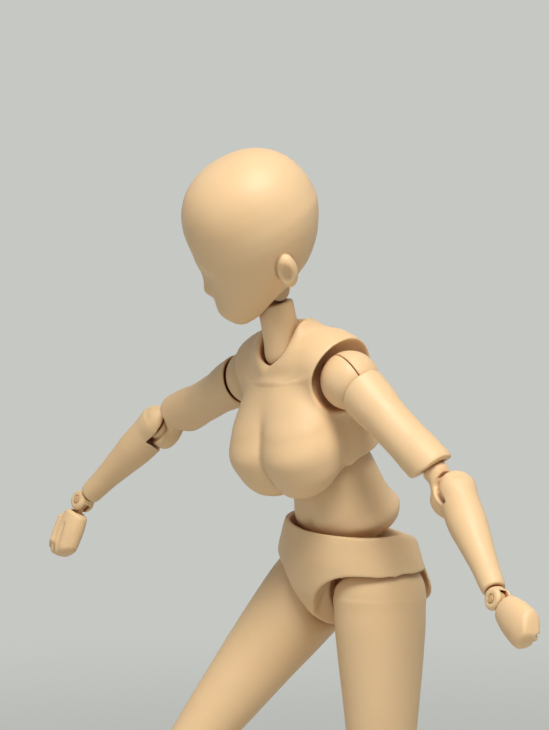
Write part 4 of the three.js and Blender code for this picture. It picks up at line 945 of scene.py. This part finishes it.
def foot(p):
    sole = -ANKLE_HEIGHT
    body = loft((p[0], p[2] - sole, -p[1]), [
        [-5.7, 0.0, 0.0, 0.0, 0, 1.0], [-5.2, 1.5, 1.5, 1.8], [-4.4, 2.5, 1.5, 3.2],
        [-1.4, 2.8, 1.5, 4.3], [1.6, 2.8, 1.5, 4.5], [5.0, 3.1, 1.5, 3.8], [9.0, 3.6, 1.5, 2.8],
        [12.4, 3.3, 1.5, 2.0], [14.2, 1.9, 1.2, 1.3], [14.7, 0.0, 0.0, 0.0, 0, 0.5],
    ], edge=0.2)
    body = union(0.5, body, rod(p, "x", -2.4, 2.4, 1.4, edge=0.3))
    slot = union(0.05, rod(p, "x", -ANKLE_SLOT_HALF, ANKLE_SLOT_HALF, 1.8),
                 block(p, (-ANKLE_SLOT_HALF, -2.6, 0), (ANKLE_SLOT_HALF, 2.6, 4)))
    body = cut(0.2, body, beyond(p, (0, 0, sole), (0, 0, -1)), slot)
    return cut(0.08, body, rod(p, "x", -2.0, 2.0, ANKLE_PIN_RADIUS + PEG_GAP))


# Forms made to a size
ELBOW_PIN = pin("x", PIN_OUT - PIN_IN, HINGE_PIN_RADIUS, ((PIN_OUT + PIN_IN) / 2, 0, 0))
LOWER_KNEE_PIN = pin("x", KNEE_PIN_LENGTH, HINGE_PIN_RADIUS, (0, 0, -KNEE_SPACING))
ANKLE_PIN = pin("x", ANKLE_PIN_LENGTH, ANKLE_PIN_RADIUS, (0, 0, -ANKLE_STEM))
SHOULDER_INNER = ball_half(SHOULDER_BALL, -1, "x", -7.1, SHOULDER_PEG_RADIUS, SHOULDER_PIN_LENGTH)
SHOULDER_OUTER = ball_half(SHOULDER_BALL, 1, "z", -7.2, ARM_PEG_RADIUS, SHOULDER_PIN_LENGTH)
HIP_INNER = ball_half(HIP_BALL, -1, "x", -5.5, HIP_PEG_RADIUS, HIP_PIN_LENGTH)
HIP_OUTER = ball_half(HIP_BALL, 1, "z", -8.0, HIP_PEG_RADIUS, HIP_PIN_LENGTH)

# One row for each piece: form, mesh step in mm, material
TORSO = {
    "hip_block": (hip_block, 0.2, JOINT),
    "pelvis_shell": (pelvis_shell, 0.19, SHELL),
    "waist_joint": (double_ball(WAIST_STEM), 0.2, JOINT),
    "abdomen": (abdomen, 0.2, SHELL),
    "chest_joint": (double_ball(CHEST_STEM), 0.2, JOINT),
    "chest": (chest, 0.2, SHELL),
    "neck": (neck, 0.15, SHELL),
    "head_joint": (head_joint, 0.15, SHELL),
    "head": (head, 0.19, SHELL),
}
LIMBS = {
    "collarbone": (collarbone, 0.15, JOINT),
    "shoulder_inner": (SHOULDER_INNER, 0.14, SHELL),
    "shoulder_outer": (SHOULDER_OUTER, 0.14, SHELL),
    "shoulder_pin": (pin("y", SHOULDER_PIN_LENGTH, BALL_PIN_RADIUS), 0.12, JOINT),
    "upper_arm": (upper_arm, 0.16, SHELL),
    "elbow_joint": (elbow_joint, 0.12, SHELL),
    "elbow_pin": (ELBOW_PIN, 0.12, JOINT),
    "forearm": (forearm, 0.14, SHELL),
    "wrist_joint": (wrist_joint, 0.08, SHELL),
    "wrist_pin": (pin("x", WRIST_PIN_LENGTH, WRIST_PIN_RADIUS, dimple=True), 0.07, JOINT),
    "hand_peg": (hand_peg, 0.1, JOINT),
    "hand": (hand, 0.1, SHELL),
    "hip_inner": (HIP_INNER, 0.16, JOINT),
    "hip_outer": (HIP_OUTER, 0.16, JOINT),
    "hip_pin": (pin("y", HIP_PIN_LENGTH, BALL_PIN_RADIUS), 0.12, JOINT),
    "thigh": (thigh, 0.2, SHELL),
    "knee_joint": (knee_joint, 0.14, SHELL),
    "knee_upper_pin": (pin("x", KNEE_PIN_LENGTH, HINGE_PIN_RADIUS), 0.1, JOINT),
    "knee_lower_pin": (LOWER_KNEE_PIN, 0.1, JOINT),
    "shin": (shin, 0.18, SHELL),
    "ankle_joint": (ankle_joint, 0.12, JOINT),
    "ankle_pin": (ANKLE_PIN, 0.1, JOINT),
    "foot": (foot, 0.16, SHELL),
}
PIECES = dict(TORSO)
for side_name in ("left", "right"):
    PIECES.update({f"{side_name}_{label}": row for label, row in LIMBS.items()})
for node, (form, step, material) in PIECES.items():
    add_piece(node, form, step, material)


# Stage: a pale floor, a pale background and soft light from above
hips, view_back, view_right, view_up = add_camera()
BACKGROUND = FLOOR_COLOUR = "C6C8C4"
FLOOR_HALF_SIZE = 3.0           # metres
FADE_START, FADE_END = 0.09, 0.30
ROOM_COLOUR, ROOM_STRENGTH = (0.90, 0.95, 1.0, 1), 0.22
LAMP_AIM = hips + Vector((0, 0, 0.03))


def seen_directly(nodes, links):
    """1 for rays that show the background: straight, mirrored or let through."""
    path = nodes.new("ShaderNodeLightPath")
    most = path.outputs["Is Camera Ray"]
    for name in ("Is Glossy Ray", "Is Transmission Ray"):
        larger = nodes.new("ShaderNodeMath")
        larger.operation = "MAXIMUM"
        links.new(most, larger.inputs[0])
        links.new(path.outputs[name], larger.inputs[1])
        most = larger.outputs[0]
    return most


def add_floor():
    """A pale floor that takes the shadow and fades into the background further off."""
    mesh = bpy.data.meshes.new("floor")
    corners = [(x * FLOOR_HALF_SIZE, y * FLOOR_HALF_SIZE, 0)
               for x, y in ((-1, -1), (1, -1), (1, 1), (-1, 1))]
    mesh.from_pydata(corners, [], [(0, 1, 2, 3)])
    floor = bpy.data.objects.new("floor", mesh)
    bpy.context.scene.collection.objects.link(floor)
    material = bpy.data.materials.new("floor paper")
    material.use_nodes = True
    nodes, links = material.node_tree.nodes, material.node_tree.links
    shader = nodes["Principled BSDF"]
    shader.inputs["Base Color"].default_value = linear(FLOOR_COLOUR)
    shader.inputs["Roughness"].default_value = 0.9
    away = nodes.new("ShaderNodeVectorMath")
    away.operation = "LENGTH"
    links.new(nodes.new("ShaderNodeTexCoord").outputs["Object"], away.inputs[0])
    fade = nodes.new("ShaderNodeMapRange")
    fade.interpolation_type = "SMOOTHSTEP"
    fade.inputs["From Min"].default_value = FADE_START
    fade.inputs["From Max"].default_value = FADE_END
    links.new(away.outputs["Value"], fade.inputs["Value"])
    share = nodes.new("ShaderNodeMath")
    share.operation = "MULTIPLY"
    links.new(fade.outputs["Result"], share.inputs[0])
    links.new(seen_directly(nodes, links), share.inputs[1])
    far = nodes.new("ShaderNodeEmission")
    far.inputs["Color"].default_value = linear(BACKGROUND)
    mix = nodes.new("ShaderNodeMixShader")
    links.new(share.outputs[0], mix.inputs[0])
    links.new(shader.outputs[0], mix.inputs[1])
    links.new(far.outputs[0], mix.inputs[2])
    links.new(mix.outputs[0], nodes["Material Output"].inputs["Surface"])
    mesh.materials.append(material)


def add_world():
    """A dim, cool room that lights the shadows, and the background where it is seen."""
    world = bpy.data.worlds.new("room")
    bpy.context.scene.world = world
    world.use_nodes = True
    nodes, links = world.node_tree.nodes, world.node_tree.links
    nodes.clear()
    output = nodes.new("ShaderNodeOutputWorld")
    mix = nodes.new("ShaderNodeMixShader")
    room, seen = nodes.new("ShaderNodeBackground"), nodes.new("ShaderNodeBackground")
    room.inputs["Color"].default_value = ROOM_COLOUR
    room.inputs["Strength"].default_value = ROOM_STRENGTH
    seen.inputs["Color"].default_value = linear(BACKGROUND)
    seen.inputs["Strength"].default_value = 1.0
    links.new(seen_directly(nodes, links), mix.inputs[0])
    links.new(room.outputs[0], mix.inputs[1])
    links.new(seen.outputs[0], mix.inputs[2])
    links.new(mix.outputs[0], output.inputs[0])


def add_lamp(name, place, size, power, colour):
    data = bpy.data.lights.new(name, "AREA")
    data.shape = "DISK"
    data.size = size
    data.energy = power
    data.color = colour
    lamp = bpy.data.objects.new(name, data)
    turn = (place - LAMP_AIM).to_track_quat("Z", "Y").to_matrix().to_4x4()
    lamp.matrix_world = Matrix.Translation(place) @ turn
    bpy.context.scene.collection.objects.link(lamp)


KEY_PLACE = hips + view_up * 0.46 + view_back * 0.40 + view_right * 0.06
FILL_PLACE = hips + view_back * 0.6 - view_right * 0.5 + view_up * 0.05
add_floor()
add_world()
add_lamp("key", KEY_PLACE, size=0.32, power=3.9, colour=(1.0, 0.97, 0.92))
add_lamp("fill", FILL_PLACE, size=0.6, power=0.5, colour=(1.0, 0.98, 0.95))

bpy.context.scene.view_settings.view_transform = "Standard"
